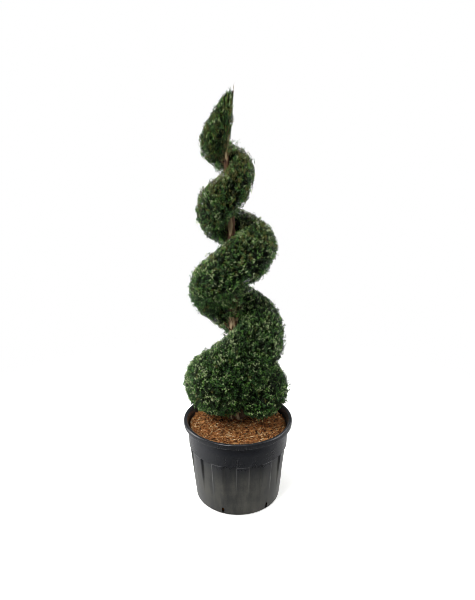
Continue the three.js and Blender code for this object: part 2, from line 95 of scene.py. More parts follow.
# Dust on the pot's wall, in millimetres: the height where it begins and the one where it is full
DUST_ON_RIBS = (260, 150)
DUST_IN_PANELS = (275, 160)

# Potting mix, in millimetres: level round the trunk, and falling towards the wall
SOIL_EDGE_HEIGHT = 352
SOIL_HEIGHT = 375
SOIL_LEVEL_RADIUS = 90
SOIL_CLEARANCE = 4
SOIL_FOOT = POT_FLOOR + 1
SOIL_FOOT_FLARE = 22
SOIL_COLLAR_STEP = 16
SOIL_STEPS = 200
SOIL_ROWS = 56
SOIL_LUMP = 2.5
SOIL_LUMP_LENGTH = 150

# Fine relief of the mix: length and height of its waves in millimetres, and their layer of noise
SOIL_RELIEF = [(9, 2.2, 0.3), (26, 2.4, 4.1)]

# Fibres and chips on the mix: the colour and the share of each kind
FIBRES = {
    "amber": ("#c08650", 0.3),
    "umber": ("#7d5230", 0.26),
    "rust": ("#a96a3c", 0.2),
    "straw": ("#e2c493", 0.09),
    "black": ("#2a180d", 0.15),
}

# Fibres and chips: the share of the mix that they lie on, their lift in millimetres, the mean and the
# spread of their rise, the spread of their faces and of their lengths, their width as a share of
# their length and its limits, and how far they are folded, as a share of their width
CHIP_COVER = 0.97
CHIP_LIFT = (-1, 2.5)
CHIP_RISE = (0.05, 0.22)
CHIP_TURN = 0.45
CHIP_SPREAD = 0.4
CHIP_SLIMNESS = (0.16, 0.42)
CHIP_NARROWEST = 1.4 * MM
CHIP_WIDEST = 5.5 * MM
CHIP_FOLD = 0.3

# Trunk, in millimetres: height above the floor, radius, and place from left to right and from
# front to back
TRUNK = MM * np.array([
    (375, 42, 0, 30),
    (395, 33, -1, 28),
    (450, 26, -5, 18),
    (600, 22, -12, 6),
    (830, 19, -20, 2),
    (1250, 16, -26, 0),
    (1540, 10, -45, 0),
    (1620, 8, -42, 0),
    (1740, 5, -29, 0),
    (1802, 2.5, -19, 0),
])

# Trunk: the gap between it and the foliage's sections, how far its foot is sunk into the mix, and
# its mesh's sides, its rings, and the power by which they lie closer together at the foot
TRUNK_CLEARANCE = 4 * MM
TRUNK_SUNK = 4 * MM
TRUNK_SIDES = 44
TRUNK_RINGS = 330
RING_SPREAD = 1.25

# Bark's ridges: their width on the trunk and on a limb, the trunk's radius from where they have
# their full relief, and the share of it that a limb has. Then how many widths long they are, how
# high, how many times narrower the fine ones are, where in the noise, how long and how high.
TRUNK_RIDGE = 9 * MM
LIMB_RIDGE = 5 * MM
FULL_RELIEF_RADIUS = 14 * MM
LIMB_RELIEF = 0.4
RIDGE_LENGTH = 7
RIDGE_HEIGHT = 1.3
FINE_NARROWER = 2.6
FINE_PLACE = 9
FINE_LENGTH = 3
FINE_HEIGHT = 0.6

# Lobes of the root flare: how many, how deep at its foot, and how fast they fade upwards
FLARE_LOBES = 5
FLARE_LOBE = 0.16
FLARE_HEIGHT = 45 * MM

# Spiral of foliage, in half turns and millimetres: even half turns lie on the right and odd ones on
# the left. Each row has the height and the reach of its section's centre, and the section's half
# width and half height.
SPIRAL = np.array([1, MM, MM, MM, MM]) * np.array([
    (-0.46, 517, 125, 103, 78),
    (0, 540, 123, 114, 121),
    (0.5, 543, 118, 112, 130),
    (1, 558, 114, 117, 142),
    (1.25, 608, 115, 119, 168),
    (1.5, 661, 106, 110, 191),
    (2, 803, 105, 118, 141),
    (2.5, 882, 96, 107, 137),
    (3, 999, 85, 101, 120),
    (3.5, 1122, 84, 98, 118),
    (4, 1194, 90, 99, 99),
    (4.5, 1258, 74, 86, 102),
    (5, 1330, 66, 75, 104),
    (5.5, 1417, 58, 63, 94),
    (6, 1497, 50, 61, 75),
    (6.5, 1548, 52, 60, 70),
    (7, 1603, 53, 59, 66),
    (7.42, 1647, 40, 40, 57),
])

# Rounded ends of the spiral: their lengths in half turns, and the share of a section that is left
START_ROUND = 0.22
END_ROUND = 0.35
END_SHARE = 0.04

# Whole rounds of the spiral in half turns, and how far along it another round begins
ROUNDS = range(-2, 8, 2)
ANOTHER_ROUND = 0.6

# Flame-shaped top, in millimetres, in level sections: height, place and half sizes
FLAME = MM * np.array([
    (1556, -98, -10, 24, 24),
    (1620, -90, -10, 60, 50),
    (1690, -70, -10, 49, 45),
    (1763, -46, -5, 27, 27),
    (1798, -31, 0, 14, 11),
    (1817, -16, 0, 3, 3),
])

# Masses of foliage, each from one upright cut of the spiral to the next
MASSES = [
    ("foliage_1_foot", -0.46, 1),
    ("foliage_2_front", 1, 2),
    ("foliage_3_back", 2, 3),
    ("foliage_4_front", 3, 4),
    ("foliage_5_back", 4, 5),
    ("foliage_6_front", 5, 6),
    ("foliage_7_back", 6, 7),
    ("foliage_8_top", 7, 7.42),
]
TOP_MASS = len(MASSES) - 1

# The sheared surface: how much the cuts of sprays vary, how much the ends of shoots do, how far under
# it these lie as a share of that, the depth and the length of its hollows, and the share of shoots
# that stand out of it in tufts, and how far
SHEAR_NOISE = 1.8 * MM
SURFACE_NOISE = 3.2 * MM
SURFACE_DROP = 0.8
SURFACE_WAVES = 4.5 * MM
HOLLOW_LENGTH = 24 * MM
TUFT_SHARE = 0.1
TUFT_REACH = (4 * MM, 11 * MM)

# Lumps of the inner growth, as the solids have them: two waves, along the spiral and round it
LUMPS_ALONG = (7.3, 4.1)
LUMPS_ROUND = (2, -3)

# Smooth random values: how many waves, their lengths, and the peak of their sum
RIPPLE_WAVES = 9
RIPPLE_LENGTHS = (0.7, 1.4)
RIPPLE_PEAK = 1.6

# Where shoots leave the surface bare: inside another round, close to the trunk, and in part where
# it faces the trunk, in its hollows and where the sky shows through
ROUND_CLEARANCE = 0.86
SHOOT_CLEARANCE = 6 * MM
SPRAY_CLEARANCE = 3 * MM
FACING_TRUNK = -0.82
FACING_TRUNK_GROWTH = 0.6
HOLLOW_FROM = -0.35
HOLLOW_GROWTH = 0.12
OPENING_BARE = 0.8

# Looser growth that stands or hangs out of the sheared outline: half turns, angles in degrees and
# shares from and to, and how many shoots. They are longer than the sheared ones.
LOOSE_LENGTHS = (1.1, 1.6)
LOOSE = [
    (7.15, 7.4, -150, -90, 0.95, 1.2, 44),
    (6.9, 7.2, -160, -110, 0.95, 1.12, 24),
    (5.3, 5.75, -150, -85, 0.95, 1.16, 70),
    (4.8, 5.3, -165, -110, 0.95, 1.14, 40),
    (3.3, 3.75, -150, -85, 0.95, 1.2, 90),
    (2.8, 3.3, -165, -110, 0.95, 1.16, 50),
    (5.7, 5.96, -88, -46, 0.92, 1.24, 120),
    (3.74, 3.9, -80, -44, 0.95, 1.14, 70),
    (1.15, 1.75, -112, -70, 0.98, 1.1, 60),
    (2.83, 3.17, -60, 40, 1.03, 1.14, 34),
    (3.3, 3.62, -106, -72, 1.0, 1.3, 90),
    (4.85, 5.15, -20, 50, 1.03, 1.13, 16),
    (3.88, 4.1, -30, 50, 1.0, 1.09, 16),
]

# Where the sky shows through the growth: the middle's half turn and angle in degrees, and how far
# it reaches each way
OPENINGS = [
    (3.75, -4, 0.1, 24),
    (4.07, -62, 0.1, 24),
]

# Short growth on the trunk itself, over its windows: heights in metres and headings in degrees from
# and to, and how many shoots. Then how far out they may end, the least share of that, the share of
# it by which they are rooted under the bark, how much longer a slanting one is, and their lengths.
TRUNK_GROWTH = [
    (0.885, 1.01, -150, -20, 100),
    (0.79, 0.84, -190, -150, 12),
    (1.315, 1.35, -140, -30, 14),
    (1.185, 1.225, -190, -150, 12),
    (1.575, 1.625, -120, -10, 18),
    (1.49, 1.53, -190, -150, 10),
]
TRUNK_GROWTH_REACH = 38 * MM
TRUNK_GROWTH_LEAST = 0.35
TRUNK_GROWTH_ROOT = 0.15
TRUNK_GROWTH_SLANT = 1.15
TRUNK_GROWTH_LENGTHS = (0.9, 1.1)

# Shoots at the end of the leader: how many, how far under the top in millimetres, at which share
# of the way out, and how long, as a share of the others
LEADER_SHOOTS = 14
LEADER_DEPTH = (12, 55)
LEADER_SHARE = 0.7
LEADER_LENGTH = 0.5

# Shoots on the spiral: their lengths, and the most of a section's half width that they take up
SPIRAL_LENGTHS = (0.8, 1.2)
LONGEST_SHARE = 0.6

# Shoots on the flame-shaped top: how far from its foot and its end they begin, how much denser and
# further out they stand than on the spiral, their lengths, and the most of the half width, and over
# it, that they take up
TOP_FOOT = 2 * MM
TOP_END = 13 * MM
TOP_DENSITY = 1.5
TOP_SHARE = 1.03
TOP_LENGTHS = (0.7, 1.1)
TOP_LONGEST_SHARE = 1.1
TOP_LONGEST_OVER = 8 * MM

# How upright shoots grow on the spiral's upper turns, more and more between two heights in metres,
# on the flame-shaped top, at the end of the leader, in the looser growth and on the trunk
UPPER_UPRIGHT = 0.8
UPRIGHT_FROM = (1.15, 1.7)
TOP_UPRIGHT = 1
LEADER_UPRIGHT = 2.2
LOOSE_UPRIGHT = -0.5
TRUNK_UPRIGHT = 0.1

# The share of a section from where straight out is measured, how much every shoot rises from it,
# how much more an upright one does, between which slopes of an underside that sets in, how much a
# rising shoot loses of straight out and what it keeps at least, how much shoots stray, the share of
# the section within which they have to be rooted, and the share of a shoot over its stem's end
OUTWARD_FROM = 0.7
RISE = 0.3
UPRIGHT_RISE = 0.9
RISE_FROM = (-0.8, 0.0)
OUTWARD_LOSS = 0.6
OUTWARD_KEPT = 0.3
STRAY = 0.38
ROOTED_WITHIN = 0.97
OVER_STEM = 0.35

# Side sprays of a shoot: where they leave its stem, how far they lean from it in degrees, the
# share of that for the last one, how much they vary round the stem, their sizes, the least size on
# a short shoot, and the least that shearing leaves
SPRAYS_ALONG = np.array([0.3, 0.52, 0.68, 0.78, 0.86, 0.9])
SIDE_SPRAYS = len(SPRAYS_ALONG)
SPRAY_LEAN = (18, 46)
LAST_LEAN = 0.25
SPRAY_TURN = 0.3
SPRAY_SIZES = (0.75, 1.25)
SHORT_SHOOT_SPRAY = 0.6
LEAST_SPRAY = 0.12

# Faces of sprays: how much they vary from shoot to shoot and within one, and how much they turn
# outwards and up
FACES_OF_SHOOTS = 0.5
FACES_OF_SPRAYS = 0.4
FACE_OUTWARD = 0.5
FACE_UP = 0.35

# Needles of a spray, with one more at its tip: where they leave it, how far they open in degrees
# and their sizes, from its root to its end, how much they are folded, and where they are widest
SPRAY_NEEDLES = 5
NEEDLES_ALONG = np.append(np.linspace(0.05, 0.92, SPRAY_NEEDLES), 0.96)
NEEDLES_OPEN = np.append(np.linspace(62, 34, SPRAY_NEEDLES), 0)
NEEDLE_SIZES = np.append(np.linspace(1, 0.72, SPRAY_NEEDLES), 0.8)
NEEDLE_FOLD = 0.22
BLADE_WIDEST = 0.45

# Single needles vary: how far they open and how far round they stand, in radians, and their lengths
# and widths. Their flat sides face along the spray and in part as it does.
OPEN_VARIES = 0.12
ROUND_VARIES = 0.25
NEEDLE_LENGTHS = (0.75, 1.12)
NEEDLE_WIDTHS = (0.8, 1.15)
FLAT_AS_SPRAY = 0.35

# Each next spray or needle is a golden angle further round, in radians, and each next shoot a
# golden section further across
GOLDEN_ANGLE = 2.39996
GOLDEN_SECTION = 0.61803399

# Tones of needles, each a colour of the foliage, and their shares by the way that the surface
# faces, between two slopes: more bright and fresh ones where it faces up and fewer underneath, which
# is painted light and shade. The dry one has no share, and is dealt out by itself. A spray has its
# shoot's tone or one a step away, and the deep one, as painted shade, where it leaves its stem below
# a share of it.
TONES = ["bright", "fresh", "middle", "deep", "grey", "dry"]
TONE_SHARES = {
    "top": [0.21, 0.25, 0.18, 0.32, 0.04],
    "side": [0.16, 0.2, 0.2, 0.37, 0.07],
    "under": [0.11, 0.18, 0.23, 0.33, 0.15],
}
PAINTED_SHADE_TONE, DRY_TONE = TONES.index("deep"), TONES.index("dry")
FACING_UP = (-0.1, 0.75)
FACING_DOWN = (0.0, 0.7)
TONE_STEPS = [-1, 0, 0, 0, 1]
PAINTED_SHADE_BELOW = 0.6

# Bright and deep patches of the foliage: their size, how much they change a shoot's tone, and how
# much deeper the upper turns are, more and more between two heights in metres
PATCH_LENGTH = 70 * MM
PATCH_CHANGE = 0.22
UPPER_DEEPER = 0.6
DEEPER_FROM = (1.2, 1.6)

# Browned shoots: their share low down, how much it grows between two heights in metres, and how
# much more it grows where the surface faces up, between two slopes
DRY_SHARE = 0.02
DRY_HIGH = 0.16
DRY_FROM = (0.9, 1.6)
DRY_FACING_UP = 0.2
DRY_SLOPES = (0.1, 0.8)

# Boughs: where each leaves its stretch of the spiral, and its shape as the solids have it
BOUGH_SHARES = [0.3, 0.75]
BOUGH_ROOT = 0.92
BOUGH_TIP = 0.25
BOUGH_TIP_REACH = 0.62
BOUGH_LOWEST = 35 * MM
BOUGH_BEND_UP = 0.45
BOUGH_BEND_OUT = 0.62
BOUGH_THICKNESS = 0.42
BOUGH_TAPER = 0.35

# Two bare side limbs in the lowest window of the trunk, in millimetres: each one's root, end and
# radius at the root. They sag a little and taper less than a bough.
SIDE_LIMBS = MM * np.array([
    (-24, -8, 815, -58, -34, 858, 4.2),
    (-18, -8, 828, 6, -34, 898, 3.6),
])
LIMB_SAG = 4 * MM
LIMB_TAPER = 0.6

# Sides and rings of the rods that limbs and the dark inner growth, a solid in painted shade, are
# shaped from. The inner growth's rings are for a half turn. Then how lumpy and how rough the inner
# growth is, how far its roughness reaches along and round a section, how far it draws back in an
# opening, and from which share of the flame-shaped top's height it fills how much.
BOUGH_ROD = (12, 14)
LIMB_ROD = (12, 10)
CORE_SIDES = 40
CORE_RINGS = 44
FLAME_ROD = (28, 26)
CORE_LUMPS = 0.03
CORE_ROUGHNESS = 0.14
CORE_WAVES = (11, 3.5)
CORE_OPENING = 0.5
FLAME_CORE = (0.05, 0.85)

# Radius of a shoot's stem at its root and its end
STEM_RADII = (0.9 * MM, 0.4 * MM)

# Thin bare twigs from the trunk into each mass: how many to a half turn, where they end in the
# section, in degrees and as a share, how far they rise in millimetres, the least height that they
# leave the trunk at, how much they sag and stray, their radii in millimetres and the share of one
# that is left at the tip, and the points of a path
TWIG_COUNT = 44
TWIG_ANGLES = (-165, -105)
TWIG_SHARES = (0.6, 0.9)
TWIG_RISE = (15, 60)
TWIG_LOWEST = (SOIL_HEIGHT + 20) * MM
TWIG_SAG = 4 * MM
TWIG_STRAY = 3 * MM
TWIG_RADII = (1.2, 2.2)
TWIG_TAPER = 0.35
TWIG_POINTS = 5

# The fan of twigs that rises from the trunk in its lowest window: how many, from which heights in
# metres, at which share of the trunk's radius to the front, how long, and as shares of that how far
# each leans sideways and to the front, bends, and is lower for a full lean
FAN_TWIGS = 16
FAN_HEIGHTS = (0.84, 0.9)
FAN_FRONT = 0.7
FAN_LENGTH = 95 * MM
FAN_LEAN = (-0.5, 0.42)
FAN_FORWARD = (-0.35, -0.1)
FAN_BEND = 0.06
FAN_LOWER = 0.3

# The bare end of the leader: how far under the trunk's tip it begins, how far it leans to the
# right of the tip, and how far it stands out of the top
LEADER_FOOT = 40 * MM
LEADER_LEAN = 4 * MM
LEADER_RISE = 14 * MM

# Lights: each one's name, the setting of its power, and in metres its place, its size and what it
# is turned to
LIGHTS = [
    ("key_light", "key", (-1.5, -2.2, 3.3), (1.1, 1.1), (0, 0, 0.9)),
    ("overhead_light", "overhead", (-0.3, 0.2, 4.2), (2.0, 2.0), (0, 0, 0)),
    ("left_panel", "left", (-2.2, 0.3, 1.2), (1.0, 2.4), (0, 0, 0.9)),
    ("rear_light", "rear", (1.7, 1.5, 2.3), (1.2, 1.2), (0, 0, 1.0)),
    ("right_panel", "right", (2.1, -0.3, 1.5), (1.0, 2.4), (0, 0, 0.9)),
]

# Reflections of the room brighten towards the backdrop, between two slopes of a ray to the back. A
# ray to the left counts as one to the back by a share. They brighten downwards too, between two
# slopes, from the share that they have on the level.
LEFT_AS_BACK = 0.9
ROOM_BACK = (-0.45, 0.6)
ROOM_DOWN = (0.0, -0.35)
ROOM_LEVEL = 0.25

# Floor and camera, in metres: where the floor begins to fade and where it is gone, where the camera
# stands and by how many degrees it looks down
FLOOR_RADIUS = 4
FLOOR_SIDES = 96
FLOOR_FADE = (0.8, 2.2)
CAMERA_PLACE = (-0.002, -2.167, 1.594)
CAMERA_FALL = 16.46

# Most triangles of a piece, the way up, and the metres within which two heights are the same
PIECE_LIMIT = 190_000
UP = np.array([0.0, 0.0, 1.0])
SAME_HEIGHT = 1e-6


def srgb(code):
    """The linear colour of an sRGB hex value."""
    channels = [int(code[i:i + 2], 16) / 255 for i in (1, 3, 5)]
    return tuple(c / 12.92 if c <= 0.04045 else ((c + 0.055) / 1.055) ** 2.4 for c in channels)


def colour(name, description, code):
    """A setting for a colour, from its sRGB hex value."""
    return FloatVectorProperty(
        name=name, description=description, subtype="COLOR", size=3, min=0, max=1, default=srgb(code))


def distance(name, description, default):
    """A setting for a length in metres."""
    return FloatProperty(name=name, description=description, default=default, min=0, unit="LENGTH")


def power(name, description, default):
    """A setting for a light's power in watts."""
    return FloatProperty(name=name, description=description, default=default, min=0, unit="POWER")


def brightness(name, description, default):
    """A setting for how bright a glow is."""
    return FloatProperty(name=name, description=description, default=default, min=0)


def number(name, description, default):
    """A setting for how many there are."""
    return IntProperty(name=name, description=description, default=default, min=0)


class PotSettings(bpy.types.PropertyGroup):
    """Sizes and colours of the pot."""
    panel_depth: distance("Panel depth", "How far the panels are sunk at their top", 8 * MM)
    edge_radius: distance("Edge radius", "Rounding of the rim and the collar", 5 * MM)
    plastic: colour("Plastic", "Colour of the clean plastic", "#16181e")
    dust: colour("Dust", "Colour of the dust and scuffs on the lower wall", "#4d4c44")


class SoilSettings(bpy.types.PropertyGroup):
    """Sizes and colours of the potting mix."""
    chips: number("Chips", "Number of fibres and bark chips on the surface", 24000)
    chip_length: distance("Chip length", "Length of a fibre", 11 * MM)
    ground: colour("Ground", "Colour of the fine mix", "#744a24")
    shade: colour("Shade", "Colour between the grains of the mix", "#3c2210")


class BarkSettings(bpy.types.PropertyGroup):
    """Relief and colours of the bark."""
    relief: distance("Relief", "Height of the bark's ridges", 1.6 * MM)
    ridge: colour("Ridge", "Colour of the old outer bark", "#614632")
    pale: colour("Pale strips", "Colour where the bark has flaked off", "#b39c7a")
    groove: colour("Grooves", "Colour between the ridges", "#2d1c13")


class FoliageSettings(bpy.types.PropertyGroup):
    """Sizes and colours of the foliage."""
    shoots: number("Shoots", "Shoots on each square metre of sheared surface", 14500)
    shoot_length: distance("Shoot length", "Length of a shoot, most of it inside the crown", 28 * MM)
    spray_length: distance("Spray length", "Length of a side spray", 12 * MM)
    needle_length: distance("Needle length", "Length of a needle", 6.5 * MM)
    needle_width: distance("Needle width", "Width of a needle", 2.3 * MM)
    # the inner growth is a near black solid inside each mass that stands for the shade in the crown:
    # painted shade
    core: FloatProperty(
        name="Core", description="Least share of the crown's section that the inner growth fills",
        default=0.72, min=0, max=1, subtype="FACTOR")
    core_depth: distance(
        "Core depth", "How far under the sheared surface the inner growth lies in a thick section", 24 * MM)
    bright: colour("Bright", "Young tips in the light", "#c2d29c")
    fresh: colour("Fresh", "Young needles", "#6d9a44")
    middle: colour("Middle", "Most needles", "#41702c")
    # painted shade in part: the deep tone is near black, darker than older needles are, as they look in the
    # crown's shade
    deep: colour("Deep", "Older needles", "#0b1e04")
    dry: colour("Dry", "Browned needles", "#68642f")
    grey: colour("Grey", "Undersides of needles", "#4b7640")
    # painted shade: the near black colour of the solid inner growth
    inner: colour("Inner", "Inner growth in the shade", "#050a03")
    stem: colour("Stem", "Stems of the young shoots", "#26350f")
    twig: colour("Twig", "Thin twigs", "#7d6a52")


class StageSettings(bpy.types.PropertyGroup):
    """Camera, floor and lights."""
    lens: FloatProperty(
        name="Focal length", description="Focal length on a 36 mm sensor, in millimetres",
        default=31.2, min=1, subtype="DISTANCE_CAMERA")
    floor: colour("Floor", "Colour of the floor", "#f4f4f2")
    glow: brightness("Floor glow", "Brightness of the light from below the floor", 0.35)
    key: power("Key light", "Power of the soft light from the upper left", 108)
    left: power("Left panel", "Power of the tall light panel on the left", 74)
    right: power("Right panel", "Power of the tall light panel on the right", 32)
    rear: power("Rear light", "Power of the soft light from behind on the right", 30)
    overhead: power("Overhead light", "Power of the soft light from above", 50)
    fill: brightness("Fill", "Brightness of the soft light from all round", 0.22)
    front: brightness("Room in front", "Brightness of the room's reflection behind the camera", 0.035)
    back: brightness("Backdrop", "Brightness of the backdrop's reflection", 0.46)


SETTINGS = {
    "topiary_pot": PotSettings,
    "topiary_soil": SoilSettings,
    "topiary_bark": BarkSettings,
    "topiary_foliage": FoliageSettings,
    "topiary_stage": StageSettings,
}


def smoothstep(value, low, high):
    """A smooth rise from 0 to 1 between two values."""
    share = np.clip((value - low) / (high - low), 0, 1)
    return share * share * (3 - 2 * share)


def through(table, column):
    """A smooth curve through one column of a table, which never overshoots its rows."""
    at, value = table[:, 0], table[:, column]
    rise = np.diff(value) / np.diff(at)
    before, after = rise[:-1], rise[1:]
    same_way = before * after > 0
    slope = np.concatenate([rise[:1], np.zeros(len(at) - 2), rise[-1:]])
    slope[1:-1][same_way] = (2 * before * after)[same_way] / (before + after)[same_way]

    def curve(wanted):
        x = np.clip(wanted, at[0], at[-1])
        i = np.clip(np.searchsorted(at, x) - 1, 0, len(rise) - 1)
        length = at[i + 1] - at[i]
        s = (x - at[i]) / length
        ends = (1 + 2 * s) * (1 - s) ** 2 * value[i] + s * s * (3 - 2 * s) * value[i + 1]
        return ends + length * (s * (1 - s) ** 2 * slope[i] + s * s * (s - 1) * slope[i + 1])

    return curve


trunk_radius, trunk_x, trunk_y = (through(TRUNK, column) for column in (1, 2, 3))
spiral_height, spiral_reach, spiral_wide, spiral_tall = (through(SPIRAL, column) for column in (1, 2, 3, 4))
flame_x, flame_y, flame_wide, flame_deep = (through(FLAME, column) for column in (1, 2, 3, 4))


def end_fade(turn):
    """How much a section shrinks towards the spiral's two rounded ends."""
    start = np.clip((turn - SPIRAL[0, 0]) / START_ROUND, 0, 1)
    end = np.clip((SPIRAL[-1, 0] - turn) / END_ROUND, 0, 1)
    return END_SHARE + (1 - END_SHARE) * np.sqrt(1 - (1 - np.minimum(start, end)) ** 2)


def beside_trunk(height, reach, heading):
    """A point at a height, at a distance and in a level direction from the trunk's middle."""
    x = trunk_x(height) + reach * np.cos(heading)
    y = trunk_y(height) + reach * np.sin(heading)
    return np.stack([x, y, height], axis=-1)


def spiral_point(turn, angle, share):
    """A point at a turn, at an angle round the section (0 outwards, a right angle up), and at a
    share of the way from the section's centre to the clipped outline."""
    fade = end_fade(turn) * share
    out = spiral_reach(turn) + spiral_wide(turn) * fade * np.cos(angle)
    height = spiral_height(turn) + spiral_tall(turn) * fade * np.sin(angle)
    return beside_trunk(height, np.maximum(trunk_radius(height) + TRUNK_CLEARANCE, out), np.pi * turn)


def flame_point(height, angle, share):
    """The same for the flame-shaped top, at a height and an angle in the level section."""
    x = flame_x(height) + flame_wide(height) * share * np.cos(angle)
    y = flame_y(height) + flame_deep(height) * share * np.sin(angle)
    return np.stack([x, y, height], axis=-1)


def trunk_point(height, heading, share):
    """The same for the short growth on the trunk, at a height and in a level direction."""
    return beside_trunk(height, trunk_radius(height) + TRUNK_GROWTH_REACH * share, heading)


def about_trunk(points):
    """Where points lie about the trunk: their distance from its middle, and the turn they are on."""
    x = points[..., 0] - trunk_x(points[..., 2])
    y = points[..., 1] - trunk_y(points[..., 2])
    return np.hypot(x, y), np.arctan2(y, x) / np.pi


def section_share(out, height, turn):
    """How far out a place in a section lies: 0 in its centre, and 1 on the clipped outline."""
    across = (out - spiral_reach(turn)) / spiral_wide(turn)
    up = (height - spiral_height(turn)) / spiral_tall(turn)
    return np.hypot(across, up) / end_fade(turn)


def spiral_share(points, turn):
    """The same for points near a turn of the spiral."""
    out, side = about_trunk(points)
    return section_share(out, points[..., 2], side + 2 * np.round((turn - side) / 2))


def flame_share(points, _):
    """The same for points in the flame-shaped top."""
    x, y, z = np.moveaxis(points, -1, 0)
    share = np.hypot((x - flame_x(z)) / flame_wide(z), (y - flame_y(z)) / flame_deep(z))
    return share + np.maximum(0, z - FLAME[-1, 0]) / FLAME[-1, 3]


def free_share(points, _):
    """The same for growth that nothing shears: always 0."""
    return np.zeros(points.shape[:-1])


def other_share(points, turn):
    """How deep points lie in the spiral's other turns: the least share of the way out of any."""
    out, side = about_trunk(points)
    least = np.full(len(points), np.inf)
    for rounds in ROUNDS:
        other = side + rounds
        inside = (other > SPIRAL[0, 0]) & (other < SPIRAL[-1, 0]) & (np.abs(other - turn) > ANOTHER_ROUND)
        share = section_share(out, points[:, 2], other)
        least = np.where(inside, np.minimum(least, share), least)
    return least


def lumps(along, angle):
    """A smooth lumpiness between -1 and 1, as the solids have it."""
    first = np.sin(LUMPS_ALONG[0] * along + LUMPS_ROUND[0] * angle)
    second = np.cos(LUMPS_ALONG[1] * along + LUMPS_ROUND[1] * angle)
    return first * second


def unit(vectors):
    """The same directions with a length of 1."""
    return vectors / np.maximum(np.linalg.norm(vectors, axis=-1, keepdims=True), 1e-9)


def ripples(points, length, seed):
    """A smooth random value between about -1 and 1 at each point, with waves of a length."""
    rng = np.random.default_rng(seed)
    total = np.zeros(len(points))
    for _ in range(RIPPLE_WAVES):
        wave = unit(rng.normal(size=3)) * 2 * math.pi / (length * rng.uniform(*RIPPLE_LENGTHS))
        total += np.sin(points @ wave + rng.uniform(0, 2 * math.pi))
    return total / math.sqrt(RIPPLE_WAVES / 2) / RIPPLE_PEAK


# Materials


def new_material(name):
    """A material without any nodes."""
    material = bpy.data.materials.new(name)
    material.use_nodes = True
    material.node_tree.nodes.clear()
    return material


def add_node(material, kind, inputs=(), **settings):
    """Adds one shader node with its settings, and a value or a link for each named input."""
    tree = material.node_tree
    node = tree.nodes.new(kind)
    for key, value in settings.items():
        setattr(node, key, value)
    for key, value in dict(inputs).items():
        socket = node.inputs[key]
        if isinstance(value, bpy.types.NodeSocket):
            tree.links.new(value, socket)
        elif socket.type == "RGBA" and len(value) == 3:
            socket.default_value = (*value, 1)
        else:
            socket.default_value = value
    return node


def finish_material(material, inputs):
    """Ends a material in one shader."""
    shader = add_node(material, "ShaderNodeBsdfPrincipled", inputs)
    add_node(material, "ShaderNodeOutputMaterial", {"Surface": shader.outputs["BSDF"]})
    material.diffuse_color = (*shader.inputs["Base Color"].default_value[:3], 1)
    return material


def waxy_needle(name, tone):
    """Live conifer needle with a thin wax bloom: a soft, broad gloss over a plain green."""
    return finish_material(new_material(name), {
        "Base Color": tone, "Roughness": 0.4, "Specular IOR Level": 0.3})


def plain_matt(name, tone):
    """Dry plant fibre or inner growth in painted shade: a dull, even surface."""
    return finish_material(new_material(name), {
        "Base Color": tone, "Roughness": 0.9, "Specular IOR Level": 0.15})


def flaking_bark(settings):
    """Thin conifer bark that flakes off in upright strips: red-brown ridges, dark grooves, and pale
    patches where a strip has just come away."""
    material = new_material("flaking_conifer_bark")
    place = add_node(material, "ShaderNodeTexCoord").outputs["Object"]
    stretched = add_node(material, "ShaderNodeMapping", {"Vector": place, "Scale": (1, 1, 0.22)}).outputs[0]
    # strips about 6 mm wide
    strips = add_node(material, "ShaderNodeTexNoise", {
        "Vector": stretched, "Scale": 1 / (6 * MM), "Detail": 4, "Roughness": 0.6}).outputs["Fac"]
    # bare patches about 24 mm across before they are stretched
    patches = add_node(material, "ShaderNodeTexNoise", {
        "Vector": stretched, "Scale": 1 / (24 * MM), "Detail": 2, "Roughness": 0.5}).outputs["Fac"]
    groove = add_node(material, "ShaderNodeMapRange", {
        "Value": strips, "From Min": 0.36, "From Max": 0.54}, clamp=True).outputs[0]
    bare = add_node(material, "ShaderNodeMapRange", {
        "Value": patches, "From Min": 0.52, "From Max": 0.595}, clamp=True).outputs[0]
    old = add_node(material, "ShaderNodeMix", {
        0: groove, 6: settings.groove, 7: settings.ridge}, data_type="RGBA").outputs[2]
    mixed = add_node(material, "ShaderNodeMix", {
        0: bare, 6: old, 7: settings.pale}, data_type="RGBA").outputs[2]
    relief = add_node(material, "ShaderNodeBump", {
        "Height": strips, "Strength": 0.7, "Distance": 1.5 * MM}).outputs[0]
    return finish_material(material, {
        "Base Color": mixed, "Roughness": 0.82, "Specular IOR Level": 0.25, "Normal": relief})


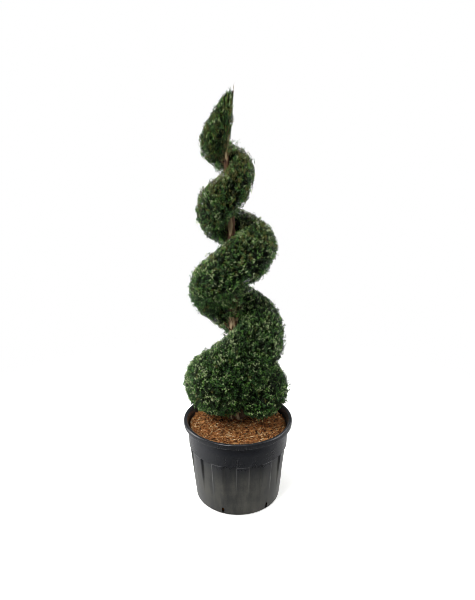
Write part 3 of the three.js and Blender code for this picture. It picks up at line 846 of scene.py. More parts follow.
def moulded_plastic(settings):
    """Recycled black polypropylene, injection moulded: satin, with dust and scuffs that run down
    the lower wall."""
    material = new_material("moulded_black_polypropylene")
    place = add_node(material, "ShaderNodeTexCoord").outputs["Object"]
    x, y, height = add_node(material, "ShaderNodeSeparateXYZ", {0: place}).outputs
    level = add_node(material, "ShaderNodeCombineXYZ", {"X": x, "Y": y}).outputs[0]
    radius = add_node(material, "ShaderNodeVectorMath", {0: level}, operation="LENGTH").outputs["Value"]
    slope = (PANEL_TOP_RADIUS - FOOT_RADIUS) / (PANEL_TOP - FOOT_EDGE)
    wall = add_node(material, "ShaderNodeMath", {
        0: height, 1: slope, 2: wall_radius(0) * MM}, operation="MULTIPLY_ADD").outputs[0]
    sunk = add_node(material, "ShaderNodeMath", {0: wall, 1: radius}, operation="SUBTRACT").outputs[0]
    raised = add_node(material, "ShaderNodeMapRange", {
        "Value": sunk, "From Min": 1.5 * MM, "From Max": 0.5 * MM}, clamp=True).outputs[0]
    # the ribs are scuffed right up to the collar, the panels only towards their foot
    on_ribs = add_node(material, "ShaderNodeMapRange", {
        "Value": height, "From Min": DUST_ON_RIBS[0] * MM, "From Max": DUST_ON_RIBS[1] * MM,
        "To Min": 0.1, "To Max": 0.82}, clamp=True).outputs[0]
    in_panels = add_node(material, "ShaderNodeMapRange", {
        "Value": height, "From Min": DUST_IN_PANELS[0] * MM, "From Max": DUST_IN_PANELS[1] * MM,
        "To Max": 0.9}, clamp=True).outputs[0]
    low = add_node(material, "ShaderNodeMix", {0: raised, 2: in_panels, 3: on_ribs}).outputs[0]
    stretched = add_node(material, "ShaderNodeMapping", {"Vector": place, "Scale": (1, 1, 0.09)}).outputs[0]
    # runs of dust about 22 mm wide
    runs = add_node(material, "ShaderNodeTexNoise", {
        "Vector": stretched, "Scale": 1 / (22 * MM), "Detail": 5, "Roughness": 0.62}).outputs["Fac"]
    # cloudy stains about 70 mm across
    clouds = add_node(material, "ShaderNodeTexNoise", {
        "Vector": place, "Scale": 1 / (70 * MM), "Detail": 4, "Roughness": 0.6}).outputs["Fac"]
    # specks of dried mud about 5 mm across
    specks = add_node(material, "ShaderNodeTexNoise", {
        "Vector": place, "Scale": 1 / (5 * MM), "Detail": 2, "Roughness": 0.7}).outputs["Fac"]
    both = add_node(material, "ShaderNodeMath", {0: runs, 1: clouds}, operation="ADD").outputs[0]
    dusty = add_node(material, "ShaderNodeMapRange", {
        "Value": both, "From Min": 0.78, "From Max": 1.25,
        "To Min": 0.3, "To Max": 0.95}, clamp=True).outputs[0]
    speckled = add_node(material, "ShaderNodeMapRange", {
        "Value": specks, "From Min": 0.35, "From Max": 0.7,
        "To Min": 0.75, "To Max": 1.25}, clamp=True).outputs[0]
    by_height = add_node(material, "ShaderNodeMath", {0: dusty, 1: low}, operation="MULTIPLY").outputs[0]
    cover = add_node(material, "ShaderNodeMath", {
        0: by_height, 1: speckled}, operation="MULTIPLY").outputs[0]
    tone = add_node(material, "ShaderNodeMix", {
        0: cover, 6: settings.plastic, 7: settings.dust}, data_type="RGBA").outputs[2]
    rough = add_node(material, "ShaderNodeMapRange", {
        "Value": cover, "To Min": 0.24, "To Max": 0.65}).outputs[0]
    relief = add_node(material, "ShaderNodeBump", {
        "Height": runs, "Strength": 0.2, "Distance": 1 * MM}).outputs[0]
    return finish_material(material, {
        "Base Color": tone, "Roughness": rough, "Specular IOR Level": 0.5,
        "Sheen Weight": 0.15, "Sheen Roughness": 0.4, "Normal": relief})


def fine_mix(settings):
    """Moist coir and composted bark, loosely filled: grainy, matt, from dark to orange-brown."""
    material = new_material("coir_and_bark_mix")
    place = add_node(material, "ShaderNodeTexCoord").outputs["Object"]
    # grains about 6 mm across
    grains = add_node(material, "ShaderNodeTexNoise", {
        "Vector": place, "Scale": 1 / (6 * MM), "Detail": 3, "Roughness": 0.65}).outputs["Fac"]
    share = add_node(material, "ShaderNodeMapRange", {
        "Value": grains, "From Min": 0.35, "From Max": 0.65}, clamp=True).outputs[0]
    tone = add_node(material, "ShaderNodeMix", {
        0: share, 6: settings.shade, 7: settings.ground}, data_type="RGBA").outputs[2]
    relief = add_node(material, "ShaderNodeBump", {
        "Height": grains, "Strength": 0.9, "Distance": 3 * MM}).outputs[0]
    return finish_material(material, {
        "Base Color": tone, "Roughness": 0.95, "Specular IOR Level": 0.1, "Normal": relief})


# Meshes and pieces


def new_piece(name, mesh, materials, nodes):
    """A finished piece that rides on the plant's one body, and stands for some of its nodes."""
    for material in materials:
        mesh.materials.append(material)
    piece = bpy.data.objects.new(name, mesh)
    bpy.context.scene.collection.objects.link(piece)
    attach(piece, "root")
    if nodes:
        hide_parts(*nodes)
    return piece


def mesh_of(bm, name, smooth=True):
    """The mesh of a finished bmesh, which is then freed."""
    mesh = bpy.data.meshes.new(name)
    bm.to_mesh(mesh)
    bm.free()
    mesh.polygons.foreach_set("use_smooth", np.full(len(mesh.polygons), smooth))
    return mesh


def mesh_of_arrays(name, points, triangles, tones):
    """One joined mesh of many small shapes, with a material for each triangle."""
    mesh = bpy.data.meshes.new(name)
    mesh.vertices.add(len(points))
    mesh.vertices.foreach_set("co", points.astype(np.float32).ravel())
    mesh.loops.add(triangles.size)
    mesh.loops.foreach_set("vertex_index", triangles.astype(np.int32).ravel())
    mesh.polygons.add(len(triangles))
    mesh.polygons.foreach_set("loop_start", np.arange(0, triangles.size, 3, dtype=np.int32))
    mesh.polygons.foreach_set("material_index", tones.astype(np.int32))
    mesh.update(calc_edges=True)
    return mesh


def join_to(whole, part):
    """Moves one bmesh into another."""
    mesh = bpy.data.meshes.new("part")
    part.to_mesh(mesh)
    part.free()
    whole.from_mesh(mesh)
    bpy.data.meshes.remove(mesh)


def pointed_blades(root, along, face, length, width, fold):
    """Narrow pointed blades with a fold down the middle: four corners each."""
    side = unit(np.cross(along, face))
    middle = root + along * (BLADE_WIDEST * length)[..., None] + face * (fold * width)[..., None]
    half = side * (0.5 * width)[..., None]
    tip = root + along * length[..., None]
    return np.stack([root, middle + half, tip, middle - half], axis=-2)


def mesh_of_blades(name, blades, tones):
    """One mesh of pointed blades, with a tone for each."""
    corners = np.array([(0, 1, 2), (0, 2, 3)])
    triangles = (corners + 4 * np.arange(len(blades))[:, None, None]).reshape(-1, 3)
    return mesh_of_arrays(name, blades.reshape(-1, 3), triangles, np.repeat(tones, 2))


def mesh_of_tubes(name, paths, radii):
    """One mesh of thin three-sided tubes, open at the root, along many short paths of equally many
    points."""
    count, steps = radii.shape
    along = unit(np.gradient(paths, axis=1))
    # a direction that no path follows
    aslant = unit(np.array([0.31, 0.17, 0.93]))
    side = unit(np.cross(along, aslant))
    across = np.cross(along, side)
    corners = np.arange(3) * 2 * math.pi / 3
    ring = side[:, :, None] * np.cos(corners)[:, None] + across[:, :, None] * np.sin(corners)[:, None]
    points = paths[:, :, None] + ring * radii[:, :, None, None]
    triangles = []
    for step in range(steps - 1):
        for i in range(3):
            a, b = step * 3 + i, step * 3 + (i + 1) % 3
            triangles += [(a, b, b + 3), (a, b + 3, a + 3)]
    triangles.append((3 * steps - 3, 3 * steps - 2, 3 * steps - 1))
    triangles = (np.array(triangles) + 3 * steps * np.arange(count)[:, None, None]).reshape(-1, 3)
    return mesh_of_arrays(name, points.reshape(-1, 3), triangles, np.zeros(len(triangles)))


def spun(profile, steps):
    """A turned shape from (radius, height) rows in millimetres."""
    bm = bmesh.new()
    verts = [bm.verts.new((0, -radius * MM, height * MM)) for radius, height in profile]
    edges = [bm.edges.new(pair) for pair in zip(verts, verts[1:])]
    bmesh.ops.spin(
        bm, geom=verts + edges, cent=(0, 0, 0), axis=(0, 0, 1), dvec=(0, 0, 0), angle=2 * math.pi,
        steps=steps, use_merge=True)
    bmesh.ops.remove_doubles(bm, verts=bm.verts, dist=0.01 * MM)
    bmesh.ops.recalc_face_normals(bm, faces=bm.faces)
    return bm


def rod(sides, rings):
    """An upright capped rod of radius and height 1 with a number of rings, its foot at height 0."""
    bm = bmesh.new()
    bmesh.ops.create_cone(bm, cap_ends=True, cap_tris=True, segments=sides, radius1=1, radius2=1, depth=1)
    upright = [edge for edge in bm.edges if abs(edge.verts[0].co.z - edge.verts[1].co.z) > 0.5]
    bmesh.ops.subdivide_edges(bm, edges=upright, cuts=rings - 1, use_grid_fill=True)
    bmesh.ops.translate(bm, verts=bm.verts, vec=(0, 0, 0.5))
    return bm


# Pot and potting mix


def wall_radius(height):
    """Radius of the wall's ribs under the collar, in millimetres."""
    return FOOT_RADIUS + (height - FOOT_EDGE) / (PANEL_TOP - FOOT_EDGE) * (PANEL_TOP_RADIUS - FOOT_RADIUS)


def pot_profile():
    """The pot's outline: up its outside, over the rim and down its inside."""
    rim_foot = POT_HEIGHT - RIM_DEPTH
    rows = list(range(FOOT_EDGE + PANEL_ROW, PANEL_TOP, PANEL_ROW))
    outside = [(0, 0), (FOOT_RADIUS - FOOT_EDGE, 0), (FOOT_RADIUS, FOOT_EDGE)]
    outside += [(wall_radius(height), height) for height in rows]
    outside += [
        (PANEL_TOP_RADIUS, PANEL_TOP),
        (COLLAR_FOOT_RADIUS, COLLAR_FOOT),
        (COLLAR_TOP_RADIUS, rim_foot - RIM_UNDERCUT),
        (RIM_RADIUS, rim_foot),
        (RIM_RADIUS, POT_HEIGHT),
        (RIM_RADIUS - RIM_WIDTH, POT_HEIGHT),
    ]
    inside = [(COLLAR_TOP_RADIUS - POT_WALL, rim_foot), (COLLAR_FOOT_RADIUS - POT_WALL, COLLAR_FOOT)]
    inside += [(wall_radius(height) - POT_WALL, height) for height in rows[::-1]]
    inside += [(FOOT_RADIUS - POT_WALL, POT_FLOOR), (0, POT_FLOOR)]
    return outside + inside


def sink_panels(bm, depth):
    """Sinks the panels into the wall, from nothing at their foot to their full depth at the top."""
    period = 360 / PANEL_COUNT
    for vert in bm.verts:
        x, y, z = vert.co
        radius = math.hypot(x, y)
        if z > PANEL_TOP * MM + SAME_HEIGHT or radius < 0.5 * FOOT_RADIUS * MM:
            continue
        angle = math.degrees(math.atan2(x, -y)) - PANEL_FIRST + period / 2
        within = abs(angle % period - period / 2)
        across = 1 - smoothstep(within, PANEL_FLAT, PANEL_EDGE)
        sunk = depth * across * smoothstep(z, PANEL_FOOT * MM, PANEL_TOP * MM)
        vert.co.x *= (radius - sunk) / radius
        vert.co.y *= (radius - sunk) / radius


def cut_slots(pot):
    """Cuts the drain slots through the foot of the wall."""
    bm = bmesh.new()
    for i in range(SLOT_COUNT):
        angle = math.radians(SLOT_FIRST + i * 360 / SLOT_COUNT)
        slot = bmesh.ops.create_cube(bm, size=1)["verts"]
        bmesh.ops.scale(bm, verts=slot, vec=(SLOT_WIDTH * MM, SLOT_DEPTH * MM, SLOT_HEIGHT * MM))
        bmesh.ops.translate(bm, verts=slot, vec=(0, -FOOT_RADIUS * MM, (SLOT_FOOT + SLOT_HEIGHT / 2) * MM))
        turn = np.array([(math.cos(angle), -math.sin(angle)), (math.sin(angle), math.cos(angle))])
        for vert in slot:
            vert.co.xy = turn @ np.array(vert.co.xy)
    cutter = bpy.data.objects.new("slot_cutter", mesh_of(bm, "slot_cutter", smooth=False))
    bpy.context.scene.collection.objects.link(cutter)
    cut = pot.modifiers.new("drain_slots", "BOOLEAN")
    cut.operation = "DIFFERENCE"
    cut.solver = "EXACT"
    cut.object = cutter
    shaped = bpy.data.meshes.new_from_object(pot.evaluated_get(bpy.context.evaluated_depsgraph_get()))
    pot.modifiers.clear()
    old = pot.data
    pot.data = shaped
    bpy.data.meshes.remove(old)
    bpy.data.objects.remove(cutter)
    if not shaped.polygons:
        raise RuntimeError("the drain slots removed the whole pot")


class TOPIARY_OT_add_pot(bpy.types.Operator):
    """Add the fluted nursery pot"""
    bl_idname = "topiary.add_pot"
    bl_label = "Add pot"

    def execute(self, context):
        settings = context.scene.topiary_pot
        bm = spun(pot_profile(), POT_STEPS)
        rim_edges = [
            edge for edge in bm.edges
            if abs(edge.verts[0].co.z - edge.verts[1].co.z) < SAME_HEIGHT
            and edge.verts[0].co.z > PANEL_TOP * MM
            and edge.calc_face_angle(0) > math.radians(ROUNDED_EDGE)
        ]
        bmesh.ops.bevel(
            bm, geom=rim_edges, offset=settings.edge_radius, offset_type="OFFSET", segments=5, profile=0.5,
            affect="EDGES", material=-1, clamp_overlap=True)
        sink_panels(bm, settings.panel_depth)
        pot = new_piece("pot_shell", mesh_of(bm, "pot_shell"), [moulded_plastic(settings)], ["pot"])
        cut_slots(pot)
        pot.data.set_sharp_from_angle(angle=math.radians(SHARP_EDGE))
        return {"FINISHED"}


def soil_height(radius, angle):
    """Height of the mix's surface, in metres, without its fine relief."""
    slope = (SOIL_HEIGHT - SOIL_EDGE_HEIGHT) / (COLLAR_TOP_RADIUS - SOIL_LEVEL_RADIUS)
    fall = slope * np.maximum(0, radius / MM - SOIL_LEVEL_RADIUS)
    return (SOIL_HEIGHT - fall) * MM + SOIL_LUMP * MM * lumps(radius / (SOIL_LUMP_LENGTH * MM), angle)


def soil_relief(x, y):
    """Fine relief of the mix's surface, in metres."""
    return sum(
        height * MM * noise.noise((x / (length * MM), y / (length * MM), layer))
        for length, height, layer in SOIL_RELIEF)


def soil_mesh(edge, foot):
    """The filling of the pot, with its radii at the surface and at the foot."""
    profile = [
        (0, SOIL_FOOT),
        (foot, SOIL_FOOT),
        (foot + SOIL_FOOT_FLARE, COLLAR_FOOT),
        (edge, COLLAR_FOOT + SOIL_COLLAR_STEP),
    ]
    profile += [(edge * (1 - i / SOIL_ROWS), SOIL_EDGE_HEIGHT) for i in range(SOIL_ROWS + 1)]
    bm = spun(profile, SOIL_STEPS)
    for vert in bm.verts:
        x, y, z = vert.co
        if z > (SOIL_EDGE_HEIGHT - 1) * MM:
            vert.co.z = float(soil_height(math.hypot(x, y), math.atan2(y, x))) + soil_relief(x, y)
    return mesh_of(bm, "potting_mix")


def fibre_mesh(edge, settings):
    """The fibres and chips on the mix, which end inside its edge."""
    rng = np.random.default_rng(SEED)
    count = settings.chips
    radius = edge * MM * np.sqrt(rng.uniform(0, CHIP_COVER, count))
    angle = rng.uniform(-math.pi, math.pi, count)
    x, y = radius * np.cos(angle), radius * np.sin(angle)
    relief = np.array([soil_relief(*place) for place in zip(x, y)])
    height = soil_height(radius, angle) + relief + rng.uniform(*CHIP_LIFT, count) * MM
    root = np.stack([x, y, height], axis=-1)
    heading = rng.uniform(0, 2 * math.pi, count)
    along = unit(np.stack([np.cos(heading), np.sin(heading), rng.normal(*CHIP_RISE, count)], axis=-1))
    face = unit(UP + rng.normal(0, CHIP_TURN, (count, 3)))
    length = settings.chip_length * rng.lognormal(0, CHIP_SPREAD, count)
    width = np.clip(length * rng.uniform(*CHIP_SLIMNESS, count), CHIP_NARROWEST, CHIP_WIDEST)
    end = root + along * length[:, None]
    inside = np.hypot(end[:, 0], end[:, 1]) < (edge - 1) * MM
    blades = pointed_blades(root, along, face, length, width, CHIP_FOLD)[inside]
    shares = [share for _, share in FIBRES.values()]
    return mesh_of_blades("soil_fibres", blades, rng.choice(len(FIBRES), size=len(blades), p=shares))


class TOPIARY_OT_add_soil(bpy.types.Operator):
    """Add the potting mix and the fibres and chips on it"""
    bl_idname = "topiary.add_soil"
    bl_label = "Add potting mix"

    def execute(self, context):
        settings = context.scene.topiary_soil
        edge = COLLAR_FOOT_RADIUS - SOIL_CLEARANCE
        foot = FOOT_RADIUS - 2 * POT_WALL - context.scene.topiary_pot.panel_depth / MM
        new_piece("potting_mix", soil_mesh(edge, foot), [fine_mix(settings)], ["soil"])
        finishes = [plain_matt(f"coir_fibre_{name}", srgb(code)) for name, (code, _) in FIBRES.items()]
        new_piece("soil_fibres", fibre_mesh(edge, settings), finishes, [])
        return {"FINISHED"}


# Trunk and boughs


def bark_relief(x, y, z, scale):
    """Upright ridges of bark, from about -1 to 1."""
    ridged = noise.noise((x / scale, y / scale, z / (RIDGE_LENGTH * scale)))
    fine = noise.noise((
        x * FINE_NARROWER / scale + FINE_PLACE, y * FINE_NARROWER / scale, z / (FINE_LENGTH * scale)))
    return ridged * RIDGE_HEIGHT + fine * FINE_HEIGHT


def trunk_rod(relief):
    """The trunk, whole from the mix to its tip."""
    foot, top = SOIL_HEIGHT * MM, TRUNK[-1, 0]
    bm = rod(TRUNK_SIDES, TRUNK_RINGS)
    for vert in bm.verts:
        heading = math.atan2(vert.co.y, vert.co.x)
        height = foot + vert.co.z ** RING_SPREAD * (top - foot)
        radius = float(trunk_radius(height))
        lobe = 1 + FLARE_LOBE * math.exp(-(height - foot) / FLARE_HEIGHT) * math.cos(FLARE_LOBES * heading)
        bumps = relief * min(1, radius / FULL_RELIEF_RADIUS) * bark_relief(
            math.cos(heading) * radius, math.sin(heading) * radius, height, TRUNK_RIDGE)
        reach = math.hypot(vert.co.x, vert.co.y) * (radius * lobe + bumps)
        x, y, z = beside_trunk(height, reach, heading)
        vert.co = (x, y, z - (TRUNK_SUNK if height < foot + SAME_HEIGHT else 0))
    return bm


def bough_path(turn):
    """The points of one bough, from the trunk out and up into the underside of its mass, and its
    radius at the trunk."""
    foot = max(spiral_height(turn) - BOUGH_ROOT * spiral_tall(turn), SOIL_HEIGHT * MM + BOUGH_LOWEST)
    tip = spiral_height(turn) - BOUGH_TIP * spiral_tall(turn)
    reach = BOUGH_TIP_REACH * spiral_reach(turn)
    bends = ((0, 0), (BOUGH_BEND_UP, BOUGH_BEND_OUT), (1, 1))
    points = [
        Vector(beside_trunk(foot + up * (tip - foot), out * reach, np.pi * turn)) for up, out in bends]
    return points, float(BOUGH_THICKNESS * trunk_radius(foot))


def limb_rod(size, points, root, taper, relief):
    """One tapering limb along a bent path, from a rod of some sides and rings."""
    start, bend, end = points
    control = 2 * bend - 0.5 * (start + end)
    side = (end - start).cross(Vector(UP)).normalized()
    bm = rod(*size)
    for vert in bm.verts:
        x, y, share = vert.co
        centre = (1 - share) ** 2 * start + 2 * share * (1 - share) * control + share ** 2 * end
        along = ((1 - share) * (control - start) + share * (end - control)).normalized()
        across = along.cross(side).normalized()
        ridges = bark_relief(x * root, y * root, share * (end - start).length, LIMB_RIDGE)
        radius = root * (1 + (taper - 1) * share)
        vert.co = centre + (side * x + across * y) * radius * (1 + relief / root * LIMB_RELIEF * ridges)
    return bm


class TOPIARY_OT_add_trunk(bpy.types.Operator):
    """Add the trunk and the boughs with the bark's relief"""
    bl_idname = "topiary.add_trunk"
    bl_label = "Add trunk and boughs"

    def execute(self, context):
        settings = context.scene.topiary_bark
        parts = [trunk_rod(settings.relief)]
        for _, start, end in MASSES:
            for share in BOUGH_SHARES:
                points, root = bough_path(start + share * (end - start))
                parts.append(limb_rod(BOUGH_ROD, points, root, BOUGH_TAPER, settings.relief))
        for row in SIDE_LIMBS:
            start, end, root = Vector(row[:3]), Vector(row[3:6]), float(row[6])
            bend = (start + end) / 2 - Vector((0, 0, LIMB_SAG))
            parts.append(limb_rod(LIMB_ROD, (start, bend, end), root, LIMB_TAPER, settings.relief))
        whole = bmesh.new()
        for part in parts:
            join_to(whole, part)
        bmesh.ops.recalc_face_normals(whole, faces=whole.faces)
        mesh = mesh_of(whole, "trunk_and_boughs")
        nodes = ["trunk"] + [f"bough_{i + 1}_{side}" for i in range(len(MASSES)) for side in "ab"]
        new_piece("trunk_and_boughs", mesh, [flaking_bark(settings)], nodes)
        return {"FINISHED"}


# Foliage


def even_spots(point_at, low, high, density, rng):
    """Pairs of values that lie evenly over the surface that a rule makes from them, with so many
    to a square metre."""
    cells = 72
    edges = [np.linspace(a, b, cells + 1) for a, b in zip(low, high)]
    surface = point_at(*np.meshgrid(*edges, indexing="ij"), 1.0)
    first = surface[1:, :-1] - surface[:-1, :-1]
    second = surface[:-1, 1:] - surface[:-1, :-1]
    area = np.linalg.norm(np.cross(first, second), axis=-1) + 1e-12
    rows = np.cumsum(area.sum(axis=1))
    count = int(rows[-1] * density)
    order = np.arange(count)
    row = np.searchsorted(rows / rows[-1], (order + 0.5) / count)
    columns = np.cumsum(area, axis=1) / area.sum(axis=1, keepdims=True)
    wanted = (order * GOLDEN_SECTION) % 1
    column = np.minimum((columns[row] < wanted[:, None]).sum(axis=1), cells - 1)
    step = [(b - a) / cells for a, b in zip(low, high)]
    return (
        edges[0][row] + step[0] * rng.uniform(0, 1, count),
        edges[1][column] + step[1] * rng.uniform(0, 1, count),
    )


def deal_tones(facing, patch, rng):
    """A tone for each shoot: brighter where it faces up, as painted light, and in bright patches, and
    deeper underneath, as painted shade.
    """
    top = smoothstep(facing, *FACING_UP)[:, None]
    under = smoothstep(-facing, *FACING_DOWN)[:, None]
    shares = top * TONE_SHARES["top"] + under * TONE_SHARES["under"]
    shares = shares + (1 - np.clip(top + under, 0, 1)) * TONE_SHARES["side"]
    pick = np.clip(rng.uniform(0, 1, len(facing)) - PATCH_CHANGE * patch, 0, 1) * shares.sum(axis=1)
    return (np.cumsum(shares, axis=1) < pick[:, None]).sum(axis=1)


def spray_tones(tone, tip, facing, rng):
    """A tone for each side spray: its shoot's or the next one, the deep one far down the stem as
    painted shade, and dry on browned shoots."""
    tones = tone[:, None] + rng.choice(TONE_STEPS, size=(len(tone), SIDE_SPRAYS))
    # painted shade: sprays that leave the stem far down, inside the crown, are given the deep tone
    tones = np.where(SPRAYS_ALONG < PAINTED_SHADE_BELOW, PAINTED_SHADE_TONE, np.clip(tones, 0, len(TONES) - 2))
    more = DRY_HIGH + DRY_FACING_UP * smoothstep(facing[:, None], *DRY_SLOPES)
    dry_share = DRY_SHARE + smoothstep(tip[:, 2:], *DRY_FROM) * more
    return np.where(rng.uniform(0, 1, size=(len(tone), 1)) < dry_share, DRY_TONE, tones)


def section_radius(point_at, at, angle):
    """How far the clipped surface lies from the middle of its section."""
    return np.linalg.norm(point_at(at, angle, 1.0) - point_at(at, angle, 0.0), axis=-1)


def grow_shoots(point_at, share_at, at, angle, reach, length, upright, settings, rng):
    """The stems and side sprays of shoots that end at places of a surface, at a share of the way
    out. Sprays are sheared off where they reach the clipped surface."""
    at, angle, reach, length = np.broadcast_arrays(at, angle, reach, length)
    tip = point_at(at, angle, reach)
    radius = section_radius(point_at, at, angle)
    outward = unit(point_at(at, angle, 1.0) - point_at(at, angle, OUTWARD_FROM))
    rising = (RISE + UPRIGHT_RISE * upright) * smoothstep(outward[:, 2], *RISE_FROM)
    level = outward * np.maximum(OUTWARD_KEPT, 1 - OUTWARD_LOSS * rising)[:, None]
    heading = unit(level + rising[:, None] * UP + STRAY * rng.normal(size=tip.shape))
    start = tip - heading * length[:, None]
    rooted = share_at(start, at) < ROOTED_WITHIN
    tip, outward, heading, start = tip[rooted], outward[rooted], heading[rooted], start[rooted]
    at, reach, length, radius = at[rooted], reach[rooted], length[rooted], radius[rooted]
    patch = ripples(tip, PATCH_LENGTH, PATCH_SEED) - UPPER_DEEPER * smoothstep(tip[:, 2], *DEEPER_FROM)
    tone = deal_tones(outward[:, 2], patch, rng)

    count = len(tip)
    each = (count, SIDE_SPRAYS)
    side = unit(np.cross(heading, rng.normal(size=(count, 3))))
    across = np.cross(heading, side)
    first = rng.uniform(0, 2 * math.pi, (count, 1))
    azimuth = first + np.arange(SIDE_SPRAYS) * GOLDEN_ANGLE + rng.normal(0, SPRAY_TURN, each)
    leaning = np.radians(rng.uniform(*SPRAY_LEAN, each))
    leaning[:, -1] *= LAST_LEAN
    around = side[:, None] * np.cos(azimuth)[..., None] + across[:, None] * np.sin(azimuth)[..., None]
    along = heading[:, None] * np.cos(leaning)[..., None] + around * np.sin(leaning)[..., None]
    root = start[:, None] + heading[:, None] * (length[:, None] * SPRAYS_ALONG)[..., None]

    short = np.clip(length / (SPIRAL_LENGTHS[0] * settings.shoot_length), SHORT_SHOOT_SPRAY, 1)
    size = settings.spray_length * short[:, None] * rng.uniform(*SPRAY_SIZES, each)
    needle = NEEDLE_SIZES[-1] * settings.needle_length
    limit = reach[:, None] + SHEAR_NOISE * rng.normal(size=each) / radius[:, None]
    root_share = share_at(root, at[:, None])
    end_share = share_at(root + along * (size + needle)[..., None], at[:, None])
    cut = np.clip((limit - root_share) / np.maximum(end_share - root_share, 1e-4), 0, 1)
    size = (size + needle) * np.where(end_share > limit, cut, 1) - needle

    toward = FACES_OF_SHOOTS * rng.normal(size=(count, 1, 3))
    toward = toward + FACES_OF_SPRAYS * rng.normal(size=(*each, 3))
    toward = toward + outward[:, None] * FACE_OUTWARD + UP * FACE_UP
    face = unit(toward - along * (toward * along).sum(axis=-1, keepdims=True))
    tones = spray_tones(tone, tip, outward[:, 2], rng)
    kept = size > LEAST_SPRAY * settings.spray_length
    sprays = {"root": root, "along": along, "face": face, "length": size, "tone": tones}
    stems = np.stack([start, tip - heading * OVER_STEM * length[:, None]], axis=1)
    return stems, {key: value[kept] for key, value in sprays.items()}


def needles_of(sprays, settings, rng):
    """The needles of many sprays: all round each stem, and one at its tip."""
    each = (len(sprays["length"]), SPRAY_NEEDLES + 1)
    along, face = sprays["along"][:, None], sprays["face"][:, None]
    side = np.cross(along, face)
    angle = np.radians(NEEDLES_OPEN) + rng.normal(0, OPEN_VARIES, each)
    first = rng.uniform(0, 2 * math.pi, (each[0], 1))
    around = first + GOLDEN_ANGLE * np.arange(each[1]) + rng.normal(0, ROUND_VARIES, each)
    outward = side * np.cos(around)[..., None] + face * np.sin(around)[..., None]
    heading = unit(along * np.cos(angle)[..., None] + outward * np.sin(angle)[..., None])
    root = sprays["root"][:, None] + along * (NEEDLES_ALONG * sprays["length"][:, None])[..., None]
    length = settings.needle_length * rng.uniform(*NEEDLE_LENGTHS, each) * NEEDLE_SIZES
    width = settings.needle_width * rng.uniform(*NEEDLE_WIDTHS, each)
    flat = along + FLAT_AS_SPRAY * face
    upward = unit(flat - heading * (flat * heading).sum(axis=-1, keepdims=True))
    return pointed_blades(root, heading, upward, length, width, NEEDLE_FOLD)


def clear_of_trunk(points, margin):
    """Which points lie outside the trunk, or over its end."""
    out, _ = about_trunk(points)
    return (out > trunk_radius(points[:, 2]) + margin) | (points[:, 2] > TRUNK[-1, 0])


def sheared(hollow, rng):
    """How far each shoot stands out of the clipped surface: most about level, a few in tufts."""
    count = len(hollow)
    tufts = rng.uniform(*TUFT_REACH, count) * (rng.uniform(0, 1, count) < TUFT_SHARE)
    return SURFACE_NOISE * (rng.normal(size=count) - SURFACE_DROP) + SURFACE_WAVES * hollow + tufts


def openness(turn, angle):
    """How open the growth is at a place on the spiral, from 0 to 1."""
    open_here = 0.0
    for middle, heading, across, around in OPENINGS:
        away = (turn - middle) ** 2 / across ** 2 + (np.degrees(angle) - heading) ** 2 / around ** 2
        open_here = np.maximum(open_here, np.exp(-away))
    return open_here


def spiral_growth(start, end, settings, rng):
    """Growth over the clipped surface of a stretch of the spiral."""
    at, angle = even_spots(spiral_point, (start, -math.pi), (end, math.pi), settings.shoots, rng)
    surface = spiral_point(at, angle, 1.0)
    seen = (other_share(surface, at) > ROUND_CLEARANCE) & clear_of_trunk(surface, SHOOT_CLEARANCE)
    seen &= (np.cos(angle) >= FACING_TRUNK) | (rng.uniform(0, 1, len(at)) < FACING_TRUNK_GROWTH)
    hollow = ripples(surface, HOLLOW_LENGTH, HOLLOW_SEED)
    seen &= (hollow > HOLLOW_FROM) | (rng.uniform(0, 1, len(at)) < HOLLOW_GROWTH)
    seen &= rng.uniform(0, 1, len(at)) > OPENING_BARE * openness(at, angle)
    at, angle, hollow = at[seen], angle[seen], hollow[seen]
    reach = 1 + sheared(hollow, rng) / section_radius(spiral_point, at, angle)
    length = settings.shoot_length * rng.uniform(*SPIRAL_LENGTHS, len(at))
    length = np.minimum(length, LONGEST_SHARE * spiral_wide(at))
    upright = UPPER_UPRIGHT * smoothstep(spiral_height(at), *UPRIGHT_FROM)
    return grow_shoots(spiral_point, spiral_share, at, angle, reach, length, upright, settings, rng)


def top_growth(settings, rng):
    """Growth over the clipped surface of the flame-shaped top, denser than on the spiral."""
    low, high = FLAME[0, 0] + TOP_FOOT, FLAME[-1, 0] - TOP_END
    density = settings.shoots * TOP_DENSITY
    at, angle = even_spots(flame_point, (low, -math.pi), (high, math.pi), density, rng)
    hollow = ripples(flame_point(at, angle, 1.0), HOLLOW_LENGTH, HOLLOW_SEED)
    reach = TOP_SHARE + sheared(hollow, rng) / section_radius(flame_point, at, angle)
    length = settings.shoot_length * rng.uniform(*TOP_LENGTHS, len(at))
    length = np.minimum(length, TOP_LONGEST_SHARE * flame_wide(at) + TOP_LONGEST_OVER)
    return grow_shoots(flame_point, flame_share, at, angle, reach, length, TOP_UPRIGHT, settings, rng)


def leader_growth(settings, rng):
    """Short shoots at the end of the leader, which no one has sheared."""
    at = FLAME[-1, 0] - rng.uniform(*LEADER_DEPTH, LEADER_SHOOTS) * MM
    angle = rng.uniform(-math.pi, math.pi, LEADER_SHOOTS)
    length = LEADER_LENGTH * settings.shoot_length
    return grow_shoots(
        flame_point, free_share, at, angle, LEADER_SHARE, length, LEADER_UPRIGHT, settings, rng)


def loose_growth(row, settings, rng):
    """Longer growth that hangs or stands out of a stretch of the spiral."""
    first, last, low, high, least, most, count = row
    at = rng.uniform(first, last, count)
    angle = np.radians(rng.uniform(low, high, count))
    reach = rng.uniform(least, most, count)
    length = settings.shoot_length * rng.uniform(*LOOSE_LENGTHS, count)
    return grow_shoots(spiral_point, spiral_share, at, angle, reach, length, LOOSE_UPRIGHT, settings, rng)


